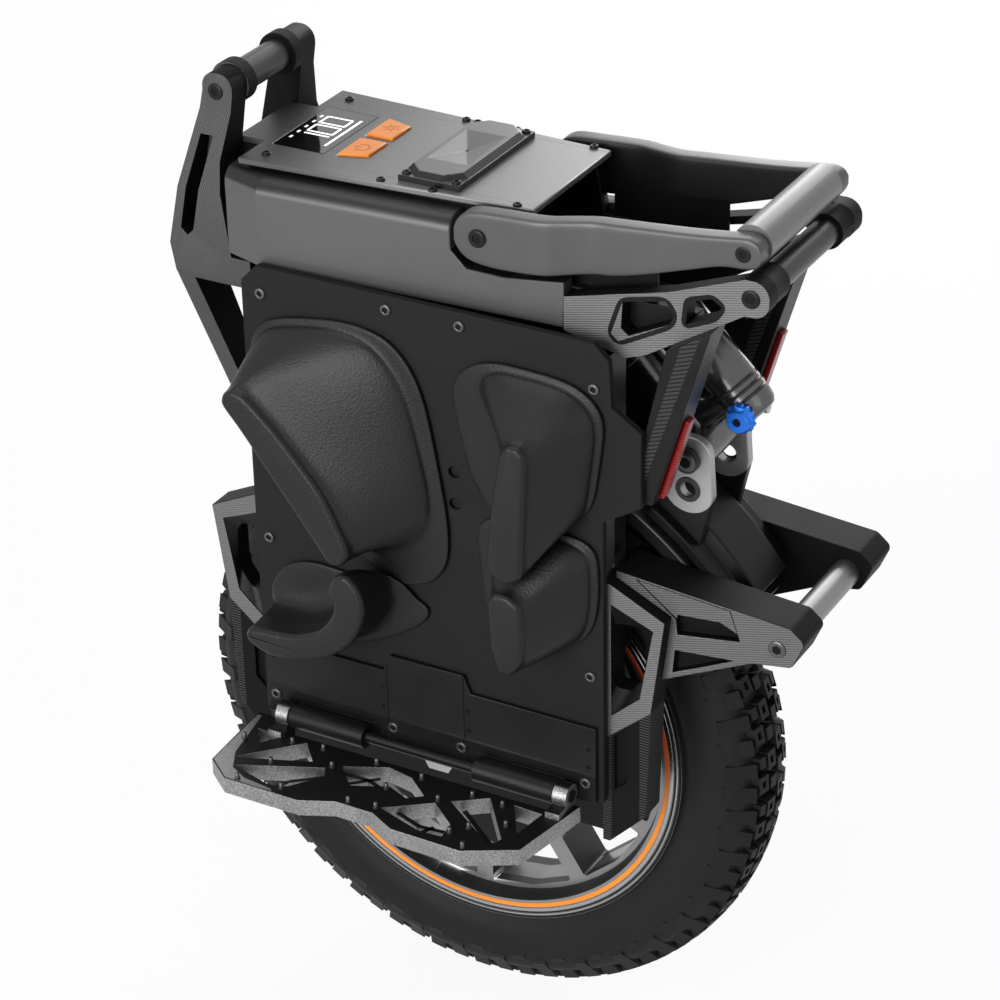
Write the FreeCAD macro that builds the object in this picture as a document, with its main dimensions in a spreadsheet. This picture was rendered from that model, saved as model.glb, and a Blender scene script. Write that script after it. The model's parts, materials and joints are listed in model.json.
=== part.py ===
import FreeCAD, Part
import math
import os
import Sketcher
from FreeCAD import Vector

# Electric unicycle, in millimetres: +X forwards, +Y to the left, +Z up.
# The origin is on the ground, straight below the axle.
# Half widths are measured from the plane of the wheel. Heights of the wheel and fork are
# measured from the axle, and those of what rides on the battery cases from the cases' top.
# Lengths are measured from the axle's vertical plane, or from the cases' ends for what
# stands ahead of them or behind them.

SIZES = {
    # Tyre and wheel
    "tyre_diameter": 508, "tyre_width": 76, "tyre_wall": 9, "bead_radius": 180, "bead_width": 58,
    "tread_count": 72, "tread_depth": 7, "tread_slot": 5, "tread_groove": 3,
    "rim_wall": 10, "flange_height": 7, "flange_thickness": 4,
    "web_width": 40, "rotor_radius": 116, "rotor_wall": 12, "rotor_width": 60,
    "spoke_count": 11, "spoke_width": 15, "cover_thickness": 6, "hub_radius": 32,
    "bearing_diameter": 47, "bearing_width": 14, "axle_diameter": 20, "collar_length": 8,
    "collar_diameter": 28, "stator_gap": 2, "stator_width": 46, "running_gap": 0.05,
    # Widths of the body, from the wheel outwards
    "well_gap": 9, "case_depth": 47, "panel_thickness": 6, "leg_gap": 2, "leg_thickness": 24,
    # Suspension: fork legs, axle plates and the rails they slide on
    "suspension_travel": 60, "bump_gap": 8, "slide_gap": 0.3, "rail_depth": 2.7, "rail_width": 18,
    "plate_rise": 46, "plate_drop": 32, "axle_plate_thickness": 12, "nut_height": 10, "nut_across": 30,
    "leg_rise": 200, "leg_foot": 6, "leg_depth": 39, "leg_heel": 2, "leg_knee": 96, "knee_depth": 41,
    "hex_depth": 52, "hex_height": 178, "window_edge": 10, "window_top": 182, "window_bottom": 84,
    "groove_width": 10, "groove_low": 17, "groove_high": 76, "groove_depth": 4,
    # Mudguard, bridge, link plates and rear bumper
    "guard_gap": 22, "guard_thickness": 6, "guard_width": 88, "guard_low": 33, "guard_high": 74,
    "guard_lip": 8, "rib_height": 5, "rib_width": 28,
    "bridge_wing": 8, "bridge_spine": 9, "spine_width": 48,
    "bridge_low": 36, "bridge_high": 56,
    "link_gap": 28, "link_thickness": 8, "link_radius": 19, "eye_height": 50, "eye_angle": 56.4,
    "bore_spacing": 25.5, "link_bolt_diameter": 12,
    "bumper_inner": 45, "bumper_thickness": 36, "bumper_top": 6, "bumper_fall": 12,
    "bumper_reach": 86, "bumper_bar_height": 78, "bumper_bar_diameter": 22, "bumper_end": 20,
    "bumper_recess": 7,
    # Battery cases and controller housing
    "case_length": 290, "case_top": 378, "case_wall": 3, "pack_gap": 1,
    "housing_front": 15, "housing_rear": 30, "housing_width": 124, "housing_height": 92,
    "housing_wall": 3, "board_setback": 20, "board_length": 130, "board_width": 96, "board_thickness": 6,
    # Top plate with display, buttons and hatch
    "top_thickness": 5, "top_width": 150, "top_draw": 14, "top_front": 30, "top_rear": 78, "top_neck": 76,
    "top_notch": 6,
    "display_front": 3, "display_length": 45, "display_width": 80, "display_depth": 2,
    "button_front": 59, "button_length": 23, "button_inner": 4, "button_outer": 38, "button_slant": 7,
    "button_proud": 2, "button_depth": 8, "button_gap": 0.3,
    "hatch_front": 37, "hatch_length": 52, "hatch_width": 117, "hatch_height": 9, "hatch_bevel": 4,
    # Upper side shells
    "band_face": 91, "band_draw": 10, "band_front": 16, "band_rear": 112, "band_bottom": 19,
    "band_top": 89, "band_round": 12, "band_taper_length": 35, "band_taper": 11, "recess_gap": 5,
    # Bail handle
    "bail_pivot_back": 45, "bail_pivot_height": 78, "bail_reach": 250, "bail_height": 104,
    "bail_diameter": 30, "bail_front_radius": 19, "bail_round": 0.9, "bail_drop": 23, "bail_bend": 105,
    "bail_bend_rise": 9, "bail_inner": 60, "bail_thickness": 16,
    "bail_jog": 10, "bail_jog_start": 95, "bail_jog_end": 132, "pivot_diameter": 12, "pivot_head": 9,
    # Front uprights and handle
    "upright_inner": 39, "upright_thickness": 20, "upright_flare": 17, "flare_height": 64,
    "front_bar_forward": 48, "front_bar_height": 139,
    "front_bar_diameter": 25, "upright_back": 15, "upright_ahead": 12, "upright_crown": 15,
    "upright_round": 12, "ring_length": 12, "ring_diameter": 34,
    "upright_mid_front": 72, "upright_mid_height": 87, "upright_low_front": 88, "upright_low_height": 15,
    "strut_top_front": 84, "strut_top_height": 7, "strut_width": 17, "strut_foot_height": 180,
    "strut_foot_front": 17, "strut_foot_depth": 44, "foot_height": 11, "foot_top": 13,
    "slot_width": 11, "slot_depth": 8, "slot_back": 17, "upright_width": 31, "strut_edge": 9,
    "strut_notch": 10, "slot_top": 105, "slot_bottom": 24,
    # Rear rails, arms, bar and pillars
    "rail_inner": 57, "rail_rear": 67, "rail_top": 46, "rail_boss_length": 36, "rail_wall_thickness": 10,
    "arm_neck_top": 44, "arm_neck_bottom": 17, "arm_heel_back": 25, "heel_round": 8,
    "arm_heel_height": 6, "arm_mid_back": 50, "arm_mid_height": 65, "rear_bar_back": 114,
    "rear_bar_height": 73, "rear_bar_diameter": 22, "arm_end_radius": 14, "rear_ring_length": 21,
    "pillar_inner": 67, "pillar_front": 55, "pillar_rear": 90, "pillar_foot_rear": 45,
    "pillar_foot_front": 25, "pillar_foot_height": 102, "light_length": 70, "light_width": 10,
    "light_thickness": 4, "light_start": 4,
    # Headlight
    "lamp_front": 30, "lamp_width": 76, "lamp_bottom": 38, "lens_width": 64, "lens_height": 44,
    "lens_bottom": 10, "lens_thickness": 5,
    # Side panels
    "panel_front": 8, "panel_rear": 8, "panel_top": 24, "panel_bottom": 8, "panel_corner": 14,
    "jut_reach": 31, "jut_top": 42, "jut_bottom": 103, "jut_slope": 16,
    "port_back": 28, "port_height": 267, "port_spacing": 27, "port_diameter": 10, "port_depth": 4,
    # Pedals, hangers and hinges
    "hinge_out": 16, "hinge_height": 18, "hinge_diameter": 20, "pin_diameter": 10, "knuckle_length": 12,
    "hinge_front": 117, "hinge_rear": 121, "hinge_gap_front": 49, "hinge_gap_rear": 50,
    "hinge_play": 0.3, "hanger_length": 296, "hanger_thickness": 4, "hanger_bar": 5, "hanger_bar_top": 34,
    "hanger_bottom": 6, "hanger_top": 76, "hanger_mid_top": 91, "hanger_mid_width": 66,
    "pedal_inner": 12, "pedal_depth": 78, "pedal_front": 154, "pedal_rear": 139, "pedal_drop": 10,
    "pedal_thickness": 14, "pedal_rim": 9,
    # Knee pads
    "pad_flange": 4, "pad_height": 50, "pad_round": 5,
    "front_upper_pad_rear": 26, "front_upper_pad_length": 176,
    "front_upper_pad_foot": 156, "front_upper_pad_rise": 219,
    "toe_pad_rear": 9, "toe_pad_length": 149,
    "toe_pad_foot": 90, "toe_pad_rise": 68,
    "rear_upper_pad_rear": 157, "rear_upper_pad_length": 128,
    "rear_upper_pad_foot": 250, "rear_upper_pad_rise": 120,
    "rear_lower_pad_rear": 151, "rear_lower_pad_length": 103,
    "rear_lower_pad_foot": 136, "rear_lower_pad_rise": 105,
    # Shock
    "shock_length": 185, "shock_angle": 45, "damper_diameter": 32, "can_diameter": 46, "can_start": 80,
    "can_end": 168, "damper_end": 122, "reservoir_diameter": 38, "reservoir_offset": 50,
    "reservoir_end": 104, "head_length": 32, "shock_eye_diameter": 28, "upper_eye_width": 24,
    "mount_bolt_diameter": 10, "eye_slack": 3.5, "knob_diameter": 24, "knob_length": 11, "lug_thickness": 8,
    # Screws
    "screw_diameter": 9, "screw_height": 2,
}

doc = FreeCAD.newDocument("electric_unicycle")
sheet = doc.addObject("Spreadsheet::Sheet", "Dims")
for row, (alias, number) in enumerate(SIZES.items(), 1):
    sheet.set("A%d" % row, alias.replace("_", " "))
    sheet.set("B%d" % row, str(number))
    sheet.setAlias("B%d" % row, alias)
doc.recompute()


class Size:
    """A number together with the spreadsheet expression that gives it."""

    def __init__(self, value, text):
        self.value = float(value)
        self.text = text

    @staticmethod
    def of(other):
        if isinstance(other, Size):
            return other
        return Size(other, "(%.9g)" % other)

    def join(self, other, sign, value):
        return Size(value, "(%s %s %s)" % (self.text, sign, other.text))

    def __add__(self, other):
        other = Size.of(other)
        return self.join(other, "+", self.value + other.value)

    def __sub__(self, other):
        other = Size.of(other)
        return self.join(other, "-", self.value - other.value)

    def __mul__(self, other):
        other = Size.of(other)
        return self.join(other, "*", self.value * other.value)

    def __truediv__(self, other):
        other = Size.of(other)
        return self.join(other, "/", self.value / other.value)

    def __neg__(self):
        return Size(-self.value, "(-%s)" % self.text)

    def __radd__(self, other):
        return Size.of(other) + self

    def __rsub__(self, other):
        return Size.of(other) - self

    def __rmul__(self, other):
        return Size.of(other) * self

    def __rtruediv__(self, other):
        return Size.of(other) / self

    def sin(self):
        return Size(math.sin(math.radians(self.value)), "sin(%s)" % self.text)

    def cos(self):
        return Size(math.cos(math.radians(self.value)), "cos(%s)" % self.text)

    def root(self):
        return Size(math.sqrt(self.value), "sqrt(%s)" % self.text)


class Dims:
    """Each driving dimension as a Size, by its alias."""

    def __getattr__(self, alias):
        return Size(sheet.get(alias), "Dims." + alias)


d = Dims()
nodes = []


# Helpers for parametric features

def bind(obj, path, size):
    """Tie one property of an object to the sheet."""
    obj.setExpression(path, Size.of(size).text)


def node(obj, label):
    """Register a finished sub-part under its own name."""
    obj.Label = label
    nodes.append(obj)
    return obj


def new(kind, name):
    return doc.addObject(kind, name)


def new_sketch(body, role, offset):
    """A sketch on one of the body's origin planes, moved along the plane's normal."""
    plane = [f for f in body.Origin.OriginFeatures if f.Role == role][0]
    sketch = body.newObject("Sketcher::SketchObject", body.Name + "_sketch")
    sketch.AttachmentSupport = (plane, [""])
    sketch.MapMode = "FlatFace"
    bind(sketch, "AttachmentOffset.Base.z", offset)
    return sketch


def add_loop(sketch, points):
    """A closed polygon whose corners are tied to the sheet."""
    points = [(Size.of(a), Size.of(b)) for a, b in points]
    first = sketch.GeometryCount
    count = len(points)
    ends = points[1:] + points[:1]
    for (a, b), (a2, b2) in zip(points, ends):
        sketch.addGeometry(Part.LineSegment(Vector(a.value, b.value, 0), Vector(a2.value, b2.value, 0)))
    for i in range(count):
        sketch.addConstraint(Sketcher.Constraint("Coincident", first + i, 2, first + (i + 1) % count, 1))
    for i, (a, b) in enumerate(points):
        for kind, size in (("DistanceX", a), ("DistanceY", b)):
            index = sketch.addConstraint(Sketcher.Constraint(kind, -1, 1, first + i, 1, size.value))
            bind(sketch, "Constraints[%d]" % index, size)


def add_circle(sketch, a, b, radius):
    """A circle whose centre and radius are tied to the sheet."""
    a, b, radius = Size.of(a), Size.of(b), Size.of(radius)
    geo = sketch.addGeometry(Part.Circle(Vector(a.value, b.value, 0), Vector(0, 0, 1), radius.value))
    for kind, size in (("DistanceX", a), ("DistanceY", b)):
        index = sketch.addConstraint(Sketcher.Constraint(kind, -1, 1, geo, 3, size.value))
        bind(sketch, "Constraints[%d]" % index, size)
    index = sketch.addConstraint(Sketcher.Constraint("Radius", geo, radius.value))
    bind(sketch, "Constraints[%d]" % index, radius)


def new_body(name):
    return new("PartDesign::Body", name)


# Sketch planes: role, and whether the plane's normal points along its axis
NORMALS = {"XZ_Plane": -1, "XY_Plane": 1, "YZ_Plane": 1}


def pad(body, role, start, length, loops, circles=()):
    """Extrude polygons (outer loop first, then windows) from start along the positive axis."""
    sign = NORMALS[role]
    sketch = new_sketch(body, role, sign * Size.of(start))
    for points in loops:
        add_loop(sketch, points)
    for a, b, radius in circles:
        add_circle(sketch, a, b, radius)
    feature = body.newObject("PartDesign::Pad", body.Name + "_pad")
    feature.Profile = sketch
    feature.Reversed = sign < 0
    bind(feature, "Length", length)
    doc.recompute()
    return feature


def pocket(body, role, start, length, loops, circles=()):
    """Cut polygons out of the body from start along the positive axis."""
    before = body.Shape.Volume
    sign = NORMALS[role]
    sketch = new_sketch(body, role, sign * Size.of(start))
    for points in loops:
        add_loop(sketch, points)
    for a, b, radius in circles:
        add_circle(sketch, a, b, radius)
    feature = body.newObject("PartDesign::Pocket", body.Name + "_pocket")
    feature.Profile = sketch
    feature.Reversed = sign > 0
    bind(feature, "Length", length)
    doc.recompute()
    if not body.Shape.Volume < before:
        raise ValueError("pocket of %s cuts nothing" % body.Name)
    return feature


def revolve(body, loops, angle=360, role="YZ_Plane"):
    """Turn polygons of (half width, height) about the axle's line."""
    sketch = new_sketch(body, role, 0)
    for points in loops:
        add_loop(sketch, [(y, axle + r) for y, r in points])
    line = sketch.addGeometry(Part.LineSegment(Vector(-10, axle.value, 0), Vector(10, axle.value, 0)), True)
    for point, y in ((1, -10), (2, 10)):
        sketch.addConstraint(Sketcher.Constraint("DistanceX", -1, 1, line, point, y))
        index = sketch.addConstraint(Sketcher.Constraint("DistanceY", -1, 1, line, point, axle.value))
        bind(sketch, "Constraints[%d]" % index, axle)
    feature = body.newObject("PartDesign::Revolution", body.Name + "_turn")
    feature.Profile = sketch
    feature.ReferenceAxis = (sketch, ["Axis0"])
    bind(feature, "Angle", angle)
    doc.recompute()
    return feature


def round_edges(body, radius, corners, axis):
    """Fillet the edges along an axis that stand on the given corners of the outline."""
    along = "XYZ".index(axis)
    plane = [i for i in range(3) if i != along]
    chosen = []
    for number, edge in enumerate(body.Shape.Edges, 1):
        ends = [v.Point for v in edge.Vertexes]
        if len(ends) != 2 or abs(abs(ends[0][along] - ends[1][along]) - edge.Length) > 0.001:
            continue
        for a, b in corners:
            spot = (Size.of(a).value, Size.of(b).value)
            if all(abs(ends[0][i] - s) < 0.01 for i, s in zip(plane, spot)):
                chosen.append("Edge%d" % number)
    base = body.Tip
    feature = body.newObject("PartDesign::Fillet", body.Name + "_round")
    feature.Base = (base, chosen)
    bind(feature, "Radius", radius)
    doc.recompute()
    return feature


def round_rim(body, radius, height, outside):
    """Fillet the long level edges that lie at a height, further out than a half width."""
    level = height.value
    limit = outside.value
    chosen = []
    for number, edge in enumerate(body.Shape.Edges, 1):
        ends = [v.Point for v in edge.Vertexes]
        if len(ends) == 2 and all(abs(e.z - level) < 0.01 and e.y > limit for e in ends):
            if abs(ends[0].x - ends[1].x) > abs(ends[0].y - ends[1].y):
                chosen.append("Edge%d" % number)
    base = body.Tip
    feature = body.newObject("PartDesign::Fillet", body.Name + "_rim")
    feature.Base = (base, chosen)
    bind(feature, "Radius", radius)
    doc.recompute()
    return feature


def box(name, low, size):
    """A Part::Box by its low corner and its size."""
    obj = new("Part::Box", name)
    for path, value in zip(("Length", "Width", "Height"), size):
        bind(obj, path, value)
    for path, value in zip("xyz", low):
        bind(obj, "Placement.Base." + path, value)
    return obj


AXIS_TURNS = {"X": (Vector(0, 1, 0), 90), "Y": (Vector(1, 0, 0), -90), "Z": (Vector(0, 0, 1), 0)}


def cylinder(name, axis, start, radius, length):
    """A Part::Cylinder from its start point along +X, +Y or +Z."""
    obj = new("Part::Cylinder", name)
    bind(obj, "Radius", radius)
    bind(obj, "Height", length)
    turn, angle = AXIS_TURNS[axis]
    obj.Placement.Rotation = FreeCAD.Rotation(turn, angle)
    for path, value in zip("xyz", start):
        bind(obj, "Placement.Base." + path, value)
    return obj


def tube(name, axis, start, radius, bore, length):
    """A cylinder with a bore right through."""
    outer = cylinder(name + "_outer", axis, start, radius, length)
    inner = cylinder(name + "_bore", axis, start, bore, length)
    return cut(name, outer, inner)


def cut(name, base, tool):
    obj = new("Part::Cut", name)
    obj.Base = base
    obj.Tool = tool
    return obj


def fuse(name, shapes):
    obj = new("Part::MultiFuse", name)
    obj.Shapes = shapes
    return obj


def group(name, shapes):
    """Separate solids that share one node."""
    obj = new("Part::Compound", name)
    obj.Links = shapes
    return obj


def mirror(name, source):
    """The right-hand copy of a left-hand piece."""
    obj = new("Part::Mirroring", name)
    obj.Source = source
    obj.Normal = Vector(0, 1, 0)
    return obj


def left_and_right(source, label):
    """Register a piece as NAME_left and its mirror image as NAME_right."""
    node(source, label + "_left")
    node(mirror(label + "_right", source), label + "_right")


def pair(source, label):
    """Register a piece and its mirror image as one node of two solids."""
    node(group(label, [source, mirror(label + "_mirror", source)]), label)


def between(a, b, share):
    """The point at a share of the way from a to b."""
    return (a[0] + (b[0] - a[0]) * share, a[1] + (b[1] - a[1]) * share)


def flip(points):
    """The same outline on the other side of the axle's vertical plane."""
    return [(-Size.of(x), z) for x, z in points]


# Reference places

axle = d.tyre_diameter / 2
tyre_radius = axle
well_half = d.tyre_width / 2 + d.well_gap
case_outer = well_half + d.case_depth
panel_face = case_outer + d.panel_thickness
leg_outer = case_outer - d.leg_gap
leg_inner = leg_outer - d.leg_thickness
case_half = d.case_length / 2
case_bottom = axle + d.plate_rise + d.suspension_travel + d.bump_gap
case_top = axle + d.case_top
leg_back = case_half + d.rail_depth + d.slide_gap
housing_front = case_half + d.housing_front
top_base = case_top + d.housing_height
top_face = top_base + d.top_thickness
axle_radius = d.axle_diameter / 2


# Wheel: tyre, rim, motor covers and bearings

def repeat(body, name, feature, turn, count):
    """Repeat a cut round the axle's line, which the turned sketch carries."""
    pattern = body.newObject("PartDesign::PolarPattern", name)
    pattern.Originals = [feature]
    pattern.Axis = (turn.Profile[0], ["Axis0"])
    bind(pattern, "Angle", 360)
    bind(pattern, "Occurrences", count)
    body.Tip = pattern
    doc.recompute()


def make_tyre():
    body = new_body("tyre")
    half = d.tyre_width / 2
    bead = d.bead_width / 2
    wall = d.tyre_wall
    seat = d.bead_radius
    tall = tyre_radius - seat
    side = half * 0.48
    brow = tyre_radius - 1.5
    floor = brow - d.tread_depth
    lane = side - d.tread_groove
    outer = [
        (bead, seat), (bead, seat + d.flange_height), (half - 2, seat + tall * 0.25),
        (half, seat + tall * 0.45),
        (half - 2, seat + tall * 0.7), (half * 0.82, seat + tall * 0.88), (side, brow), (side, floor),
        (lane, floor),
        (lane, brow + 0.3)]
    inner = [
        (bead - wall, seat), (half - 2 - wall, seat + tall * 0.25), (half - wall, seat + tall * 0.45),
        (half * 0.8 - wall, seat + tall * 0.72), (half * 0.4, floor - wall)]
    right = [(-y, r) for y, r in reversed(outer)]
    hollow = [(-y, r) for y, r in inner]
    turn = revolve(body, [outer + [(0, tyre_radius)] + right + hollow + list(reversed(inner))])
    # Slots across each half of the tread, half a step apart, leave its blocks
    slot = [
        (0, floor), (side, floor), (half * 0.76, seat + tall * 0.8), (half * 0.9, seat + tall * 0.66),
        (half + 1, seat + tall * 0.57), (half + 1, tyre_radius + 2), (0, tyre_radius + 2)]
    step = 6.28319 * tyre_radius / d.tread_count
    for way, start in ((1, -d.tread_slot / 2), (-1, step / 2 - d.tread_slot / 2)):
        points = [(way * y, axle + r) for y, r in slot]
        cutter = pocket(body, "YZ_Plane", start, d.tread_slot, [points])
        repeat(body, "tyre_slots", cutter, turn, d.tread_count)
    node(body, "tyre")


def make_rim():
    body = new_body("rim")
    seat = d.bead_radius
    barrel = seat - d.rim_wall
    bead = d.bead_width / 2
    lip = bead + d.flange_thickness
    web = d.web_width / 2
    ring = d.rotor_width / 2
    core = d.rotor_radius - d.rotor_wall
    right = [
        (bead, seat), (bead, seat + d.flange_height), (lip, seat + d.flange_height), (lip, barrel),
        (web, barrel - 4), (web, d.rotor_radius), (ring, d.rotor_radius), (ring, core)]
    left = [(-y, r) for y, r in reversed(right)]
    turn = revolve(body, [right + left])
    # Windows between the spokes: a sector cut through the web, then repeated round the axle
    pitch = 360 / d.spoke_count
    low = d.rotor_radius + 6
    high = barrel - 8
    half = d.spoke_width / 2
    lean = pitch / 2
    corners = []
    for radius, side in ((low, 1), (high, 1), (high, -1), (low, -1)):
        x = radius * lean.sin() - half * lean.cos()
        z = radius * lean.cos() + half * lean.sin()
        corners.append((side * x, axle + z))
    crown = axle + high * 1.005
    window = pocket(body, "XZ_Plane", -web - 1, d.web_width + 2, [corners[:2] + [(0, crown)] + corners[2:]])
    repeat(body, "rim_spokes", window, turn, d.spoke_count)
    node(body, "rim")


def make_motor():
    ring = d.rotor_width / 2
    face = ring + d.cover_thickness
    hub_end = leg_inner - d.collar_length
    seat = d.bearing_diameter / 2
    throat = d.collar_diameter / 2 + 1
    cover = new_body("motor_cover")
    bearing_start = hub_end - d.bearing_width - 2
    revolve(cover, [[
        (ring, d.rotor_radius - 1), (face, d.rotor_radius - 3), (face + 3, d.hub_radius + 8),
        (hub_end, d.hub_radius), (hub_end, throat), (hub_end - 2, throat), (hub_end - 2, seat),
        (bearing_start, seat), (bearing_start, throat), (ring, throat)]])
    pair(cover, "motor_covers")
    bearing = tube("bearing", "Y", (0, bearing_start, axle), seat, axle_radius + d.running_gap,
                   d.bearing_width)
    pair(bearing, "wheel_bearings")
    core = d.rotor_radius - d.rotor_wall - d.stator_gap
    stator = tube("motor_stator", "Y", (0, -d.stator_width / 2, axle), core, axle_radius, d.stator_width)
    node(stator, "motor_stator")
    shaft = new_body("axle")
    end = leg_inner + d.axle_plate_thickness + d.nut_height
    collar = d.collar_diameter / 2
    right = [(hub_end, axle_radius), (hub_end, collar), (leg_inner, collar), (leg_inner, axle_radius),
             (end, axle_radius)]
    left = [(-y, r) for y, r in reversed(right)]
    revolve(shaft, [right + [(end, 0), (-end, 0)] + left])
    node(shaft, "axle")
    nut_start = leg_inner + d.axle_plate_thickness
    nut = new("Part::Prism", "axle_nut")
    nut.Polygon = 6
    bind(nut, "Circumradius", d.nut_across / 1.732)
    bind(nut, "Height", d.nut_height)
    nut.Placement.Rotation = FreeCAD.Rotation(*AXIS_TURNS["Y"])
    bind(nut, "Placement.Base.y", nut_start)
    bind(nut, "Placement.Base.z", axle)
    bore = cylinder("axle_nut_bore", "Y", (0, nut_start, axle), axle_radius, d.nut_height)
    pair(cut("axle_nut_ring", nut, bore), "axle_nuts")


# Fork: axle plates, legs, mudguard, bridge, link plates and bumper

def leg_outline():
    """Outline of the rear leg's lower half, its knee, and the hexagonal side frame above."""
    low = axle - d.plate_drop
    foot = (-(leg_back + d.leg_foot), low)
    heel = (-(leg_back + d.leg_depth - d.leg_heel), axle)
    knee = (-(leg_back + d.knee_depth), axle + d.leg_knee)
    corner = (-(leg_back + d.hex_depth), axle + d.hex_height)
    top = (-(leg_back + d.leg_foot), axle + d.leg_rise)
    return [(-leg_back, low), foot, heel, knee, corner, top, (-leg_back, axle + d.leg_rise)]


def make_fork():
    outline = leg_outline()
    edge = d.window_edge
    inner = leg_back + edge * 0.7
    window = [
        (-inner, axle + d.window_top), (-(leg_back + d.hex_depth - edge), axle + d.hex_height - edge),
        (-(leg_back + d.knee_depth - edge), axle + d.leg_knee + edge), (-inner, axle + d.window_bottom)]
    slit = d.groove_width
    groove = [
        (-(leg_back + slit), axle + d.groove_low), (-(leg_back + slit * 2), axle + d.groove_low + slit),
        (-(leg_back + slit * 2), axle + d.groove_high), (-(leg_back + slit), axle + d.groove_high - slit)]
    legs = []
    for name, turn in (("rear_leg", list), ("front_leg", flip)):
        body = new_body(name)
        pad(body, "XZ_Plane", leg_inner, d.leg_thickness, [turn(outline), turn(window)])
        pocket(body, "XZ_Plane", leg_outer - d.groove_depth, d.groove_depth, [turn(groove)])
        legs.append(body)
    node(group("fork_legs", legs + [mirror(leg.Name + "_right", leg) for leg in legs]), "fork_legs")
    plate = new_body("axle_plate")
    low = axle - d.plate_drop
    high = axle + d.plate_rise
    pad(plate, "XZ_Plane", leg_inner, d.axle_plate_thickness,
        [[(-leg_back, low), (leg_back, low), (leg_back, high), (-leg_back, high)]], [(0, axle, axle_radius)])
    pair(plate, "axle_plates")


guard_inner = tyre_radius + d.guard_gap
guard_outer = guard_inner + d.guard_thickness
wing_base = guard_outer + d.rib_height
wing_top = wing_base + d.bridge_wing
spine_top = wing_top + d.bridge_spine
eye_reach = wing_top + d.eye_height
eye_x = -eye_reach * d.eye_angle.cos()
eye_z = axle + eye_reach * d.eye_angle.sin()


def arch(name, section, low, high):
    """Turn a section about the axle, from low to high degrees above the horizontal behind it."""
    body = new_body(name)
    feature = revolve(body, [section], high - low)
    feature.Reversed = True
    turn = 90 - high
    body.Placement.Rotation = FreeCAD.Rotation(Vector(0, -1, 0), 1)
    bind(body, "Placement.Rotation.Angle", turn)
    bind(body, "Placement.Base.x", axle * turn.sin())
    bind(body, "Placement.Base.z", axle - axle * turn.cos())
    return body


def both_sides(points):
    """A section closed across the plane of the wheel from its left half, given from inside out."""
    return points + [(-y, r) for y, r in reversed(points)]


def make_guard():
    half = d.guard_width / 2
    wall = d.guard_thickness
    rib = d.rib_width / 2
    section = both_sides([
        (half - wall, guard_inner), (half - wall, guard_inner - d.guard_lip),
        (half, guard_inner - d.guard_lip),
        (half, guard_outer - wall / 2), (half - wall, guard_outer), (rib, guard_outer), (rib - 2, wing_base)])
    node(arch("mudguard", section, d.guard_low, d.guard_high), "mudguard")
    wing = d.bumper_inner
    spine = d.spine_width / 2
    section = both_sides([(wing, wing_base), (wing, wing_top), (spine + 4, wing_top), (spine, spine_top)])
    node(arch("fork_bridge", section, d.bridge_low, d.bridge_high), "fork_bridge")


def make_link():
    bolt = d.link_bolt_diameter / 2
    lobe = d.link_radius
    body = new_body("link_plate_blank")
    outline = [
        (eye_x + lobe - 2, eye_z + lobe), (eye_x - lobe + 2, eye_z + lobe - 2),
        (eye_x - lobe - 1, eye_z - d.bore_spacing - 4), (eye_x - lobe / 2, eye_z - d.eye_height * 1.5),
        (eye_x + lobe * 1.4, eye_z - d.eye_height * 1.25), (eye_x + lobe + 3, eye_z - lobe / 2)]
    pad(body, "XZ_Plane", d.link_gap, d.link_thickness, [outline],
        [(eye_x, eye_z, bolt), (eye_x - 1.5, eye_z - d.bore_spacing, bolt + 1.5)])
    round_edges(body, lobe * 0.75, outline[:2], "Y")
    seat = cylinder("link_plate_seat", "Y", (0, 0, axle), wing_top, d.bumper_inner * 2)
    pair(cut("link_plate", body, seat), "link_plates")
    end = d.link_gap + d.link_thickness
    head = d.nut_height / 2
    shank = cylinder("link_bolt_shank", "Y", (eye_x, -end, eye_z), bolt, end * 2)
    heads = [cylinder("link_bolt_head", "Y", (eye_x, start, eye_z), bolt + 4, head)
             for start in (end, -end - head)]
    node(fuse("link_bolt", [shank] + heads), "link_bolt")


def make_bumper():
    outline = leg_outline()
    knee, corner, top = outline[3], outline[4], outline[5]
    reach = leg_back + d.hex_depth + d.bumper_reach
    high = axle + d.leg_rise + d.bumper_top
    bar = axle + d.leg_knee + d.bumper_bar_height
    end = d.bumper_end
    rear_top = (-(reach + end / 2), high - d.bumper_fall)
    root = between(knee, corner, 0.3)
    tail = (-(reach + end * 0.6), bar - end * 0.65)
    belly = (-(reach - end), bar - end * 0.9)
    body = new_body("bumper_arm")
    shape = [top, (top[0], high), rear_top, (-(reach + end * 1.1), bar + end / 2), tail, belly, root, corner]
    pad(body, "XZ_Plane", d.bumper_inner, d.bumper_thickness, [shape])
    round_edges(body, 6, shape[2:6], "Y")
    face = d.bumper_inner + d.bumper_thickness - d.bumper_recess
    upper = [
        between(top, rear_top, 0.12), between(top, rear_top, 0.66), (-(reach - end * 1.5), bar - 2),
        (corner[0] - 5, bar - end / 2), (corner[0] - 4, bar + 3)]
    upper[0] = (upper[0][0], upper[0][1] + 3)
    lower = [(corner[0] - 3, bar - end * 1.2), (-(reach - end * 1.8), bar - end), between(root, belly, 0.12)]
    lower[2] = (lower[2][0], lower[2][1] + 5)
    pocket(body, "XZ_Plane", face, d.bumper_recess, [upper])
    pocket(body, "XZ_Plane", face, d.bumper_recess, [lower])
    pair(body, "bumper_arms")
    node(cylinder("bumper_bar", "Y", (-reach, -d.bumper_inner, bar), d.bumper_bar_diameter / 2,
                  d.bumper_inner * 2),
         "bumper_bar")


# Battery cases, controller housing and the rails of the fork

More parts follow.
